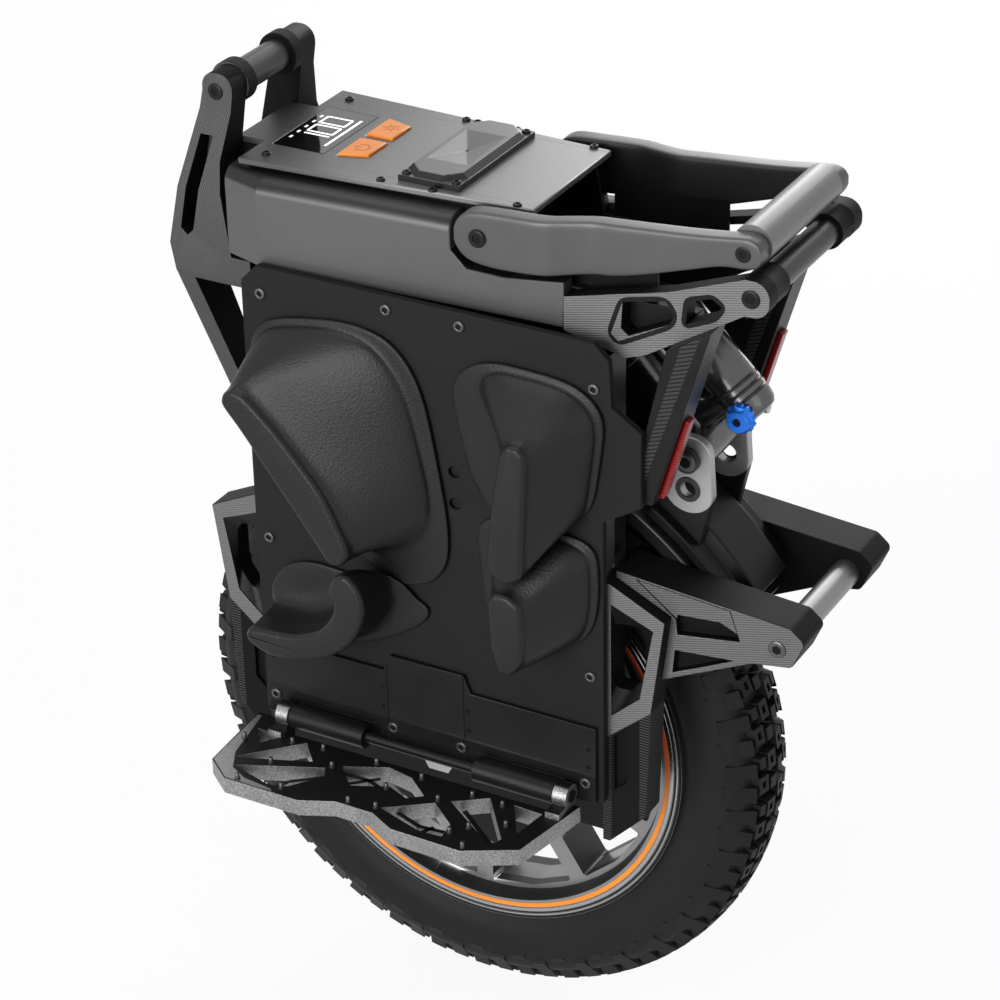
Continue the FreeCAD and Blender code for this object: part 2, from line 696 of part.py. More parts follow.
def make_cases():
    wall = d.case_wall
    height = case_top - case_bottom
    outer = box("case_outer", (-case_half, well_half, case_bottom), (d.case_length, d.case_depth, height))
    room = (d.case_length - wall * 2, d.case_depth - wall * 2, height - wall * 2)
    inner = box("case_inner", (wall - case_half, well_half + wall, case_bottom + wall), room)
    pair(cut("battery_case", outer, inner), "battery_cases")
    gap = d.pack_gap
    pack = box("battery_pack", (wall + gap - case_half, well_half + wall + gap, case_bottom + wall),
               (room[0] - gap * 2, room[1] - gap * 2, room[2] - gap))
    pair(pack, "battery_packs")
    rails = []
    middle = (leg_inner + leg_outer) / 2
    for name, start in (("front_rail", case_half), ("rear_rail", -case_half - d.rail_depth)):
        low = (start, middle - d.rail_width / 2, case_bottom)
        rise = axle + d.leg_rise + d.suspension_travel - case_bottom
        rails.append(box(name, low, (d.rail_depth, d.rail_width, rise)))
    pair(group("guide_rails_left", rails), "guide_rails")


def make_housing():
    wall = d.housing_wall
    half = d.housing_width / 2
    length = housing_front + d.housing_rear
    outer = box("housing_outer", (-d.housing_rear, -half, case_top),
                (length, d.housing_width, d.housing_height))
    inner = box("housing_inner", (wall - d.housing_rear, wall - half, case_top + wall),
                (length - wall * 2, d.housing_width - wall * 2, d.housing_height))
    node(cut("controller_housing", outer, inner), "controller_housing")
    board_start = housing_front - wall - d.board_setback - d.board_length
    board = box("controller_board", (board_start, -d.board_width / 2, case_top + wall),
                (d.board_length, d.board_width, d.board_thickness))
    node(board, "controller_board")


# Top plate with its fittings

def button_outline(side, gap):
    """A button's outline seen from above, grown by a clearance; side is +1 for left, -1 for right."""
    front = housing_front - d.button_front + gap
    rear = housing_front - d.button_front - d.button_length - gap
    inner = (d.button_inner - gap) * side
    return [(front, inner), (front, (d.button_outer + gap) * side),
            (rear, (d.button_outer - d.button_slant + gap) * side), (rear, inner)]


def make_top():
    half = d.top_width / 2
    neck = d.top_neck / 2
    tail = half - d.top_draw
    front = housing_front + d.top_front
    notch = housing_front + d.top_notch
    outline = [(front, -neck), (front, neck), (notch, neck), (notch, half), (-d.top_rear, tail),
               (-d.top_rear, -tail), (notch, -half), (notch, -neck)]
    plate = new_body("top_plate")
    pad(plate, "XY_Plane", top_base, d.top_thickness, [outline])
    ahead = housing_front - d.display_front
    rear = ahead - d.display_length
    side = d.display_width / 2
    pocket(plate, "XY_Plane", top_face - d.display_depth, d.display_depth,
           [[(ahead, -side), (ahead, side), (rear, side), (rear, -side)]])
    for turn in (1, -1):
        pocket(plate, "XY_Plane", top_base, d.top_thickness, [button_outline(turn, d.button_gap)])
    node(plate, "top_plate")
    node(box("display_window", (rear, -side, top_face - d.display_depth),
             (d.display_length, d.display_width, d.display_depth)), "display_window")
    for label, turn in (("power_button", 1), ("light_button", -1)):
        button = new_body(label)
        pad(button, "XY_Plane", top_face + d.button_proud - d.button_depth, d.button_depth,
            [button_outline(turn, 0)])
        node(button, label)
    hatch = new("Part::Wedge", "hatch_cover")
    wide = d.hatch_width
    bevel = d.hatch_bevel
    for path, value in (
            ("Xmin", 0), ("Ymin", 0), ("Zmin", 0), ("Xmax", d.hatch_length), ("Ymax", d.hatch_height),
            ("Zmax", wide),
            ("X2min", bevel), ("Z2min", bevel), ("X2max", d.hatch_length - bevel), ("Z2max", wide - bevel)):
        bind(hatch, path, value)
    hatch.Placement.Rotation = FreeCAD.Rotation(Vector(1, 0, 0), 90)
    bind(hatch, "Placement.Base.x", d.hatch_front - d.hatch_length)
    bind(hatch, "Placement.Base.y", wide / 2)
    bind(hatch, "Placement.Base.z", top_face)
    node(hatch, "hatch_cover")


# Bail handle and the upper side shells

bail_x = -d.bail_reach
bail_z = case_top + d.bail_height
pivot_x = -d.bail_pivot_back
pivot_z = case_top + d.bail_pivot_height
bail_radius = d.bail_diameter / 2
arm_inner = d.rail_inner + d.rail_wall_thickness


def bail_belly():
    """The bail arm's lower edge, from its front end to the grip."""
    low = pivot_z - d.bail_drop
    front = d.bail_front_radius
    return [(pivot_x + front, low + 1), (pivot_x - front, low),
            (pivot_x - d.bail_bend, low + d.bail_bend_rise),
            (bail_x + bail_radius / 3, bail_z - bail_radius + 1.5)]


def make_bail():
    belly = bail_belly()
    front = d.bail_front_radius
    tip = bail_radius - 1.5
    outline = belly + [(bail_x - tip, bail_z - tip), (bail_x - tip, bail_z + tip * 0.8),
                       (bail_x + tip, bail_z + tip / 2),
                       (pivot_x - front, pivot_z + front + 2), (pivot_x + front, pivot_z + front + 1)]
    body = new_body("bail_arm")
    outer = d.bail_inner + d.bail_thickness + d.bail_jog
    pad(body, "XZ_Plane", d.bail_inner, outer - d.bail_inner, [outline],
        [(pivot_x, pivot_z, d.pivot_diameter / 2 + d.slide_gap)])
    round_edges(body, tip * 0.72, [(bail_x - tip, bail_z - tip), (bail_x - tip, bail_z + tip * 0.8)], "Y")
    round_edges(body, front * d.bail_round, [outline[0], outline[-1]], "Y")
    near, far = -d.bail_jog_start, -d.bail_jog_end
    away = -d.bail_reach - d.bail_diameter * 2
    ahead = pivot_x + front * 2
    low = pivot_z - d.bail_drop - 20
    tall = d.bail_drop + d.bail_diameter + 60
    step = d.bail_jog + 5
    pocket(body, "XY_Plane", low, tall,
           [[(far, outer - d.bail_jog), (near, outer), (near, outer + step), (away, outer + step),
             (away, outer - d.bail_jog)]])
    pocket(body, "XY_Plane", low, tall,
           [[(far, d.bail_inner), (near, d.bail_inner + d.bail_jog), (ahead, d.bail_inner + d.bail_jog),
             (ahead, d.bail_inner - step), (far, d.bail_inner - step)]])
    pair(body, "bail_arms")
    node(cylinder("bail_tube", "Y", (bail_x, -d.bail_inner, bail_z), bail_radius, d.bail_inner * 2),
         "bail_tube")


def make_band():
    belly = bail_belly()
    gap = d.recess_gap
    bottom = case_top + d.band_bottom
    top = case_top + d.band_top
    front = housing_front + d.band_front
    rear = -d.band_rear
    start = belly[0][0] + gap
    turn = d.bail_front_radius * d.bail_round
    cut_back = (turn + gap) * (Size(22.5, "(22.5)").sin() / Size(22.5, "(22.5)").cos())
    turn_x, turn_z = belly[0][0] - turn, belly[0][1] + turn
    slope = (belly[2][1] - belly[1][1]) / (belly[1][0] - belly[2][0])
    seam = belly[1][1] + slope * (d.band_rear + belly[1][0]) - gap
    outline = [
        (front, bottom), (front, top), (start, top), (start, turn_z - cut_back),
        (turn_x + cut_back, belly[0][1] - gap), (belly[1][0], belly[1][1] - gap), (rear, seam),
        (rear, bottom)]
    body = new_body("upper_side")
    inner = d.housing_width / 2
    face = d.band_face
    pad(body, "XZ_Plane", inner, face - inner, [outline])
    low = bottom - 1
    tall = top - low + 1
    # Room for the rear rail, which lies along the inside
    lead = 1 - d.housing_rear
    pocket(body, "XY_Plane", low, tall,
           [[(lead, inner - 1), (lead, arm_inner), (rear - 1, arm_inner), (rear - 1, inner - 1)]])
    # The face narrows towards the front corner and, more gently, towards the rear
    bend = front - d.band_taper_length
    pocket(body, "XY_Plane", low, tall,
           [[(bend, face), (front, face - d.band_taper), (front, face + 1), (bend, face + 1)]])
    pocket(body, "XY_Plane", low, tall,
           [[(bend, face), (rear, face - d.band_draw), (rear, face + 1), (bend, face + 1)]])
    round_rim(body, d.band_round, top, face - d.band_taper - d.band_draw)
    left_and_right(body, "upper_side")
    arm_face = d.bail_inner + d.bail_thickness + d.bail_jog
    pin = d.pivot_diameter / 2
    shank = cylinder("pivot_shank", "Y", (pivot_x, arm_inner, pivot_z), pin, arm_face - arm_inner)
    neck = cylinder("pivot_neck", "Y", (pivot_x, arm_face, pivot_z), pin, d.slide_gap)
    cap = cylinder("pivot_cap", "Y", (pivot_x, arm_face + d.slide_gap, pivot_z), d.pivot_head, d.screw_height)
    return fuse("bail_pivot", [shank, neck, cap])


# Front uprights, rear rails, rear arms and pillars

def make_uprights():
    fx, fz = case_half + d.front_bar_forward, case_top + d.front_bar_height
    back, ahead = fx - d.upright_back, fx + d.upright_ahead
    crown = fz + d.upright_crown
    wide = d.strut_width
    mid = (case_half + d.upright_mid_front, case_top + d.upright_mid_height)
    low = (case_half + d.upright_low_front, case_top + d.upright_low_height)
    hip = (case_half + d.strut_top_front, case_top - d.strut_top_height)
    heel = (case_half + d.strut_foot_front, case_top - d.strut_foot_height)
    foot = case_top - d.foot_height
    knee = case_top + d.foot_top
    toe = heel[1] + d.strut_foot_depth
    neck = housing_front + d.band_front + d.leg_gap / 2
    outline = [
        (case_half, case_top), (housing_front, case_top), (housing_front, knee), (neck, knee),
        (mid[0] - d.upright_width, mid[1]),
        (back, fz), (back, crown), (ahead, crown), (ahead, fz), mid, low, hip, heel, (case_half, heel[1])]
    edge = case_half + d.strut_edge
    window = [(edge, foot), (hip[0] - wide, foot), (edge + d.strut_notch, toe), (edge, toe)]
    body = new_body("front_upright")
    face = d.upright_inner + d.upright_thickness
    wide_face = face + d.upright_flare
    pad(body, "XZ_Plane", d.upright_inner, wide_face - d.upright_inner, [outline, window])
    round_edges(body, d.upright_round, outline[6:8], "Y")
    # The outer face leans inwards from the body's top up to the bar
    lean = case_top + d.flare_height
    pocket(body, "YZ_Plane", case_half, low[0] - case_half,
           [[(wide_face, lean), (face, fz - d.upright_crown), (face, crown + 1),
             (wide_face + 1, crown + 1), (wide_face + 1, lean)]])
    # Below, it leans in again to clear the fork legs at the top of their travel
    tuck = leg_inner - d.leg_gap
    bump = axle + d.leg_rise + d.suspension_travel + d.bump_gap
    pocket(body, "YZ_Plane", case_half, low[0] - case_half,
           [[(wide_face, hip[1]), (tuck, bump), (tuck, heel[1] - 1), (wide_face + 1, heel[1] - 1),
             (wide_face + 1, hip[1])]])
    half = d.slot_width / 2
    top, bottom = case_top + d.slot_top, case_top + d.slot_bottom
    tx, bx = mid[0] - d.slot_back, low[0] - d.slot_back
    pocket(body, "XZ_Plane", face - d.slot_depth, wide_face - face + d.slot_depth,
           [[(tx - half, top), (tx + half, top), (bx + half, bottom + half), (bx, bottom),
             (bx - half, bottom + half)]])
    ring_start = (fx, d.upright_inner - d.ring_length, fz)
    ring = cylinder("upright_ring", "Y", ring_start, d.ring_diameter / 2, d.ring_length)
    bore = cylinder("upright_bore", "Y", ring_start, d.front_bar_diameter / 2, d.ring_length)
    whole = fuse("front_upright_blank", [body, ring])
    left_and_right(cut("front_upright_bored", whole, bore), "front_upright")
    node(cylinder("front_handle_tube", "Y", (fx, -d.upright_inner, fz), d.front_bar_diameter / 2,
                  d.upright_inner * 2),
         "front_handle_tube")


def arm_outline():
    """The rear arm's outline, from the seam with the upper side round to the bar and back."""
    bx, bz = -(case_half + d.rear_bar_back), case_top + d.rear_bar_height
    end = d.arm_end_radius
    heel = -(case_half + d.arm_heel_back)
    low = case_top + d.arm_heel_height
    return [(-d.band_rear, case_top + d.arm_neck_bottom), (heel + d.heel_round, low),
            (heel - d.heel_round, low + d.heel_round * 0.75), (bx + end / 3, bz - end), (bx - end, bz - end),
            (bx - end, bz + end), (bx + end / 3, bz + end),
            (-(case_half + d.arm_mid_back), case_top + d.arm_mid_height),
            (-d.band_rear, case_top + d.arm_neck_top)]


def make_rear():
    wall = d.rail_wall_thickness
    rail_top = case_top + d.rail_top
    rail_end = -(case_half + d.rail_rear)
    outline = arm_outline()
    heel, under = outline[2], outline[3]
    foot = between(heel, under, 0.3)
    boss = -d.housing_rear - d.rail_boss_length
    rail = new_body("rear_rail")
    pad(rail, "XZ_Plane", d.rail_inner, wall,
        [[(-d.housing_rear, case_top), (-d.housing_rear, top_base), (boss, top_base), (boss - 8, rail_top),
          (rail_end, rail_top), (rail_end, foot[1] + 6), (heel[0], heel[1] + 4), (-case_half, case_top)]])
    pair(rail, "rear_rails")
    bx, bz = -(case_half + d.rear_bar_back), case_top + d.rear_bar_height
    end = d.arm_end_radius
    mid, neck = outline[7], outline[8]
    body = new_body("rear_arm")
    window = [
        between(neck, mid, 0.57), between(neck, mid, 0.98), (mid[0] - 5, mid[1] - end - 3),
        (mid[0] - 2, mid[1] - end - 11),
        (heel[0] + 14, heel[1] + 12), (heel[0] + 20, heel[1] + 17)]
    window[0] = (window[0][0], window[0][1] - 6)
    window[1] = (window[1][0], window[1][1] - 7)
    hole = [(mid[0] - 16, mid[1] - 4), (mid[0] - 34, mid[1] + 2), (mid[0] - 42, mid[1] - 3),
            (mid[0] - 36, mid[1] - 12),
            (mid[0] - 14, mid[1] - 22)]
    pad(body, "XZ_Plane", arm_inner, d.band_face - d.band_draw - arm_inner, [outline, window, hole])
    round_edges(body, end * 0.9, outline[4:6], "Y")
    ring = cylinder("rear_ring", "Y", (bx, arm_inner - d.rear_ring_length, bz), end, d.rear_ring_length)
    bore = cylinder("rear_bore", "Y", (bx, arm_inner - d.rear_ring_length, bz), d.rear_bar_diameter / 2,
                    d.rear_ring_length)
    left_and_right(cut("rear_arm_bored", fuse("rear_arm_blank", [body, ring]), bore), "rear_arm")
    node(cylinder("rear_bar_tube", "Y", (bx, -arm_inner, bz), d.rear_bar_diameter / 2, arm_inner * 2),
         "rear_bar_tube")
    # Pillars under the arms, with a light strip along the rear edge of each
    slope = (under[1] - heel[1]) / (heel[0] - under[0])
    low = case_top - d.pillar_foot_height
    front = -(case_half + d.pillar_front)
    front = (front, heel[1] + slope * (heel[0] - front))
    rear = -(case_half + d.pillar_rear)
    rear = (rear, heel[1] + slope * (heel[0] - rear))
    base = (-(case_half + d.pillar_foot_rear), low)
    pillar = new_body("rear_pillar")
    deep = case_outer - d.pillar_inner
    pad(pillar, "XZ_Plane", d.pillar_inner, deep,
        [[front, rear, base, (-(case_half + d.pillar_foot_front), low)]])
    pair(pillar, "rear_pillars")
    run = ((rear[0] - base[0]) * (rear[0] - base[0]) + (rear[1] - base[1]) * (rear[1] - base[1])).root()
    first = between(base, rear, d.light_start / run)
    last = between(base, rear, (d.light_start + d.light_length) / run)
    out = ((base[1] - rear[1]) / run * d.light_thickness, (rear[0] - base[0]) / run * d.light_thickness)
    light = new_body("tail_light")
    middle = d.pillar_inner + deep / 2
    pad(light, "XZ_Plane", middle - d.light_width / 2, d.light_width,
        [[first, last, (last[0] + out[0], last[1] + out[1]), (first[0] + out[0], first[1] + out[1])]])
    pair(light, "tail_lights")


def make_headlight():
    half = d.lamp_width / 2
    low = case_top - d.lamp_bottom
    node(box("headlight_housing", (housing_front, -half, low), (d.lamp_front, d.lamp_width, top_base - low)),
         "headlight_housing")
    node(box("headlight_lens", (housing_front + d.lamp_front, -d.lens_width / 2, case_top + d.lens_bottom),
             (d.lens_thickness, d.lens_width, d.lens_height)), "headlight_lens")


# Side panels, pedal hangers and pedals

def make_panels():
    top = case_top + d.panel_top
    corner = d.panel_corner
    front, rear = case_half + d.panel_front, -(case_half + d.panel_rear)
    reach = rear - d.jut_reach
    high, low = case_top - d.jut_top, case_top - d.jut_bottom
    slope = d.jut_slope
    bottom = axle + d.panel_bottom
    body = new_body("side_panel")
    pad(body, "XZ_Plane", case_outer, d.panel_thickness,
        [[(front, top - corner), (front - corner, top), (rear + corner / 2, top - 2),
          (rear - 5, top - corner),
          (rear - 7, high + slope), (reach, high), (reach, low), (rear, low - slope - 3), (rear, bottom),
          (front, bottom)]])
    ports = [(-d.port_back, axle + d.port_height - d.port_spacing * k, d.port_diameter / 2) for k in (0, 1)]
    pocket(body, "XZ_Plane", panel_face - d.port_depth, d.port_depth, [], ports)
    left_and_right(body, "side_panel")


hinge_y = panel_face + d.hinge_out
hinge_z = axle + d.hinge_height
pin_radius = d.pin_diameter / 2
barrel = d.hinge_diameter / 2


def make_hangers():
    half = d.hanger_length / 2
    low = axle + d.panel_bottom
    skin = new_body("hanger_skin")
    mid = d.hanger_mid_width / 2
    high, crest = axle + d.hanger_top, axle + d.hanger_mid_top
    pad(skin, "XZ_Plane", panel_face, d.hanger_thickness,
        [[(half, low), (half, high), (mid + 6, high), (mid, crest), (-mid, crest), (-mid - 6, high),
          (-half, high), (-half, low)]])
    bar_low = axle - d.hanger_bottom
    bar = box("hanger_bar", (-half, panel_face, low),
              (d.hanger_length, d.hanger_bar, d.hanger_bar_top - d.panel_bottom))
    pieces = [skin, bar]
    bores = []
    for start, end in ((d.hinge_gap_front, d.hinge_front), (-d.hinge_rear, -d.hinge_gap_rear)):
        length = end - start
        pieces.append(cylinder("hanger_knuckle", "X", (start, hinge_y, hinge_z), barrel, length))
        web = barrel * 1.2
        pieces.append(box("hanger_web", (start, panel_face, hinge_z - web / 2), (length, d.hinge_out, web)))
        bores.append(cylinder("hanger_bore", "X", (start, hinge_y, hinge_z), pin_radius, length))
    blank = fuse("hanger_blank", pieces)
    left_and_right(cut("pedal_hanger_bored", blank, fuse("hanger_bores", bores)), "pedal_hanger")
    end = d.knuckle_length + d.hinge_play + 1
    pin = cylinder("hinge_pin", "X", (-d.hinge_rear - end, hinge_y, hinge_z), pin_radius,
                   d.hinge_rear + d.hinge_front + end * 2)
    pair(pin, "hinge_pins")


# The pedal's outline and the openings of its deck, as shares of its length and of its depth
PEDAL_OUTLINE = (
    (1.0, -0.2), (0.986, 0.756), (0.908, 0.987), (0.676, 0.987), (0.584, 0.833), (0.471, 0.833),
    (0.392, 0.987),
    (0.184, 1.0), (0.048, 0.718), (0.0, -0.2))
PEDAL_WINDOWS = (
    ((0.956, 0.07), (0.87, 0.07), (0.915, 0.282)),
    ((0.942, 0.628), (0.799, 0.07), (0.737, 0.333), (0.85, 0.5)),
    ((0.922, 0.744), (0.693, 0.372), (0.672, 0.5), (0.734, 0.82), (0.782, 0.885)),
    ((0.655, 0.27), (0.539, 0.07), (0.461, 0.128), (0.389, 0.346), (0.427, 0.462), (0.491, 0.36),
     (0.59, 0.526)),
    ((0.464, 0.72), (0.348, 0.4), (0.263, 0.654), (0.256, 0.87), (0.324, 0.885)),
    ((0.314, 0.308), (0.229, 0.077), (0.113, 0.64), (0.126, 0.79)),
    ((0.157, 0.077), (0.072, 0.09), (0.089, 0.487)))


def make_pedals():
    inner = hinge_y + d.pedal_inner
    rear = -d.pedal_rear
    top = hinge_z - d.pedal_drop
    base = top - d.pedal_thickness
    rim = d.pedal_rim

    def place(point):
        return rear + (d.pedal_front - rear) * point[0], inner + d.pedal_depth * point[1]

    outline = [place(point) for point in PEDAL_OUTLINE]
    # The deck's inner edge steps back between its two knuckles
    clear = d.knuckle_length + d.hinge_play * 2
    for x in (-d.hinge_rear - clear, d.hinge_front + clear):
        ends = [(x, outline[0][1]), (x, inner)]
        outline += ends if x.value < 0 else list(reversed(ends))
    body = new_body("pedal_deck")
    windows = [[place(point) for point in window] for window in PEDAL_WINDOWS]
    pad(body, "XY_Plane", base, d.pedal_thickness, [outline] + windows)
    pieces = [body]
    bores = []
    for start in (d.hinge_front + d.hinge_play, -d.hinge_rear - d.hinge_play - d.knuckle_length):
        pieces.append(cylinder("pedal_knuckle", "X", (start, hinge_y, hinge_z), barrel, d.knuckle_length))
        pieces.append(box("pedal_neck", (start, hinge_y, base),
                          (d.knuckle_length, d.pedal_inner + rim, d.pedal_thickness + d.pedal_drop / 2)))
        bores.append(cylinder("pedal_bore", "X", (start, hinge_y, hinge_z), pin_radius + d.running_gap,
                              d.knuckle_length))
    left_and_right(cut("pedal_bored", fuse("pedal_blank", pieces), fuse("pedal_bores", bores)), "pedal")


# Knee pads: a flange on the panel, sides drawn in, and a crowned face

def along_side(points, count):
    """Evenly spaced points along one side of an outline, without its last point."""
    runs = [math.dist(a, b) for a, b in zip(points, points[1:])]
    total = sum(runs)
    result = []
    for k in range(count):
        want = total * k / count
        for (a, b), run in zip(zip(points, points[1:]), runs):
            if want <= run:
                share = want / run
                result.append((a[0] + (b[0] - a[0]) * share, a[1] + (b[1] - a[1]) * share))
                break
            want -= run
    return result


def smooth_outline(sides, count):
    """An outline of four sides as an even ring of points with softened corners."""
    ring = []
    for points, following in zip(sides, sides[1:] + sides[:1]):
        ring += along_side(points + following[:1], count)
    for sweep in range(2):
        size = len(ring)
        ring = [tuple((ring[i - 1][k] + 2 * ring[i][k] + ring[(i + 1) % size][k]) / 4 for k in (0, 1))
                for i in range(size)]
    return ring


# Each pad: its flange and its outer face, as four sides of (share of its length from its rear end,
# share of its rise from its foot)
PADS = {
    "front_upper_pad": (
        [[(1, 0.863), (0.898, 0.945), (0.506, 1)],
         [(0.256, 0.973), (0.125, 0.826), (0.057, 0.525), (0, 0.247)],
         [(0.017, 0.142), (0.108, 0.046)],
         [(0.307, 0), (0.5, 0.091), (0.989, 0.658)]],
        [[(0.977, 0.685), (0.966, 0.726), (0.92, 0.753)],
         [(0.852, 0.74), (0.71, 0.639), (0.483, 0.434)],
         [(0.352, 0.215), (0.403, 0.155), (0.466, 0.151)],
         [(0.562, 0.26), (0.903, 0.621)]]),
    "toe_pad": (
        [[(1, 0.559), (0.919, 0.853), (0.765, 1)],
         [(0.564, 0.985), (0.067, 0.868), (0.007, 0.809)],
         [(0, 0.662), (0.275, 0.235), (0.523, 0), (0.812, 0)],
         [(0.96, 0.147), (1, 0.324)]],
        [[(0.953, 0.338), (0.678, 0.382), (0.503, 0.559), (0.423, 0.838)],
         [(0.416, 0.971), (0.45, 1.118), (0.43, 1.279), (0.362, 1.382)],
         [(0.322, 1.368), (0.248, 1.235), (0.221, 0.985), (0.262, 0.676), (0.389, 0.309), (0.611, 0.074),
          (0.859, 0)],
         [(0.96, 0.147), (0.98, 0.235)]]),
    "rear_upper_pad": (
        [[(0.977, 0.85), (0.789, 1), (0.195, 0.975)],
         [(0.039, 0.867), (0, 0.75), (0.078, 0.167)],
         [(0.133, 0.05), (0.758, 0)],
         [(0.867, 0.1), (1, 0.708)]],
        [[(0.492, 0.6), (0.445, 0.667), (0.367, 0.667)],
         [(0.32, 0.608), (0.328, 0.4), (0.352, -0.033)],
         [(0.359, -0.233), (0.445, -0.308), (0.547, -0.283)],
         [(0.594, -0.192), (0.562, 0.167)]]),
    "rear_lower_pad": (
        [[(0.981, 0.952), (0.786, 1), (0.204, 0.99)],
         [(0.01, 0.952), (0, 0.514), (0.049, 0.229)],
         [(0.282, 0.019), (0.748, 0)],
         [(0.922, 0.133), (1, 0.8)]],
        [[(0.68, 0.562), (0.641, 0.638), (0.515, 0.648)],
         [(0.398, 0.581), (0.379, 0.333), (0.408, 0.105)],
         [(0.515, -0.038), (0.612, 0.019)],
         [(0.66, 0.171), (0.67, 0.371)]]),
}

# How far a pad's sides are drawn in from its flange to its face: (share of the way up, share of the way in)
SLOPES = {
    "even": ((0.03, 0.12), (0.12, 0.16), (0.3, 0.3), (0.6, 0.6), (0.88, 0.92)),
    "steep": ((0.03, 0.55), (0.12, 0.8), (0.3, 0.92), (0.6, 0.97), (0.88, 1)),
    "tip": ((0.03, 0.35), (0.12, 0.5), (0.3, 0.7), (0.6, 0.9), (0.88, 1)),
}
PAD_SIDES = {
    "front_upper_pad": ("even", "even", "steep", "steep"),
    "toe_pad": ("steep", "tip", "steep", "steep"),
    "rear_upper_pad": ("even", "even", "even", "steep"),
    "rear_lower_pad": ("even", "even", "even", "steep"),
}
PAD_POINTS = 8


def inset(ring, depth):
    """The same ring moved inwards by a depth."""
    size = len(ring)
    result = []
    for i, (x, z) in enumerate(ring):
        dx = ring[(i + 1) % size][0] - ring[i - 1][0]
        dz = ring[(i + 1) % size][1] - ring[i - 1][1]
        run = math.hypot(dx, dz)
        result.append((x - dz / run * depth, z + dx / run * depth))
    return result


def eased(values):
    """Values round a ring with their steps softened."""
    for sweep in range(3):
        size = len(values)
        values = [(values[i - 1] + 2 * values[i] + values[(i + 1) % size]) / 4 for i in range(size)]
    return values


def blended(low, high, shares):
    """A ring on the way from one ring to another, each point by its own share."""
    return [tuple(a[k] + (b[k] - a[k]) * s for k in (0, 1)) for a, b, s in zip(low, high, shares)]


def placed(label, sides):
    """A pad's outline at its own size: (length, height above the axle)."""
    rear = -getattr(d, label + "_rear").value
    foot = getattr(d, label + "_foot").value
    length = getattr(d, label + "_length").value
    rise = getattr(d, label + "_rise").value
    return [[(rear + length * x, foot + rise * z) for x, z in side] for side in sides]


def make_pads():
    lip = d.pad_flange.value
    tall = d.pad_height.value
    soft = d.pad_round.value
    base = panel_face.value
    rise = tall - soft - lip
    for label, (flange, face) in PADS.items():
        low = smooth_outline(placed(label, flange), PAD_POINTS)
        high = smooth_outline(placed(label, face), PAD_POINTS)
        levels = [(0, inset(low, 1)), (lip, low)]
        for step in range(len(SLOPES["even"])):
            up = SLOPES["even"][step][0]
            shares = [SLOPES[kind][step][1] for kind in PAD_SIDES[label] for i in range(PAD_POINTS)]
            levels.append((lip + rise * up, blended(low, high, eased(shares))))
        levels += [(tall - soft, high), (tall - soft * 0.3, inset(high, soft * 0.25)),
                   (tall, inset(high, soft * 0.7))]
        wires = []
        for height, ring in levels:
            points = [Vector(x, base + height, axle.value + z) for x, z in ring]
            wires.append(Part.makePolygon(points + points[:1]))
        piece = new("Part::Feature", label)
        piece.Shape = Part.makeLoft(wires, True, True)
        left_and_right(piece, label)


# Shock: drawn along its own axis from the lower eye, then turned into place

def set_on_eye(obj):
    """Turn a piece drawn along +X about the lower eye into the shock's slant."""
    obj.Placement.Rotation = FreeCAD.Rotation(Vector(0, -1, 0), 1)
    bind(obj, "Placement.Rotation.Angle", d.shock_angle)
    bind(obj, "Placement.Base.x", eye_x)
    bind(obj, "Placement.Base.z", eye_z)
    return obj


mount_x = eye_x + d.shock_length * d.shock_angle.cos()
mount_z = eye_z + d.shock_length * d.shock_angle.sin()


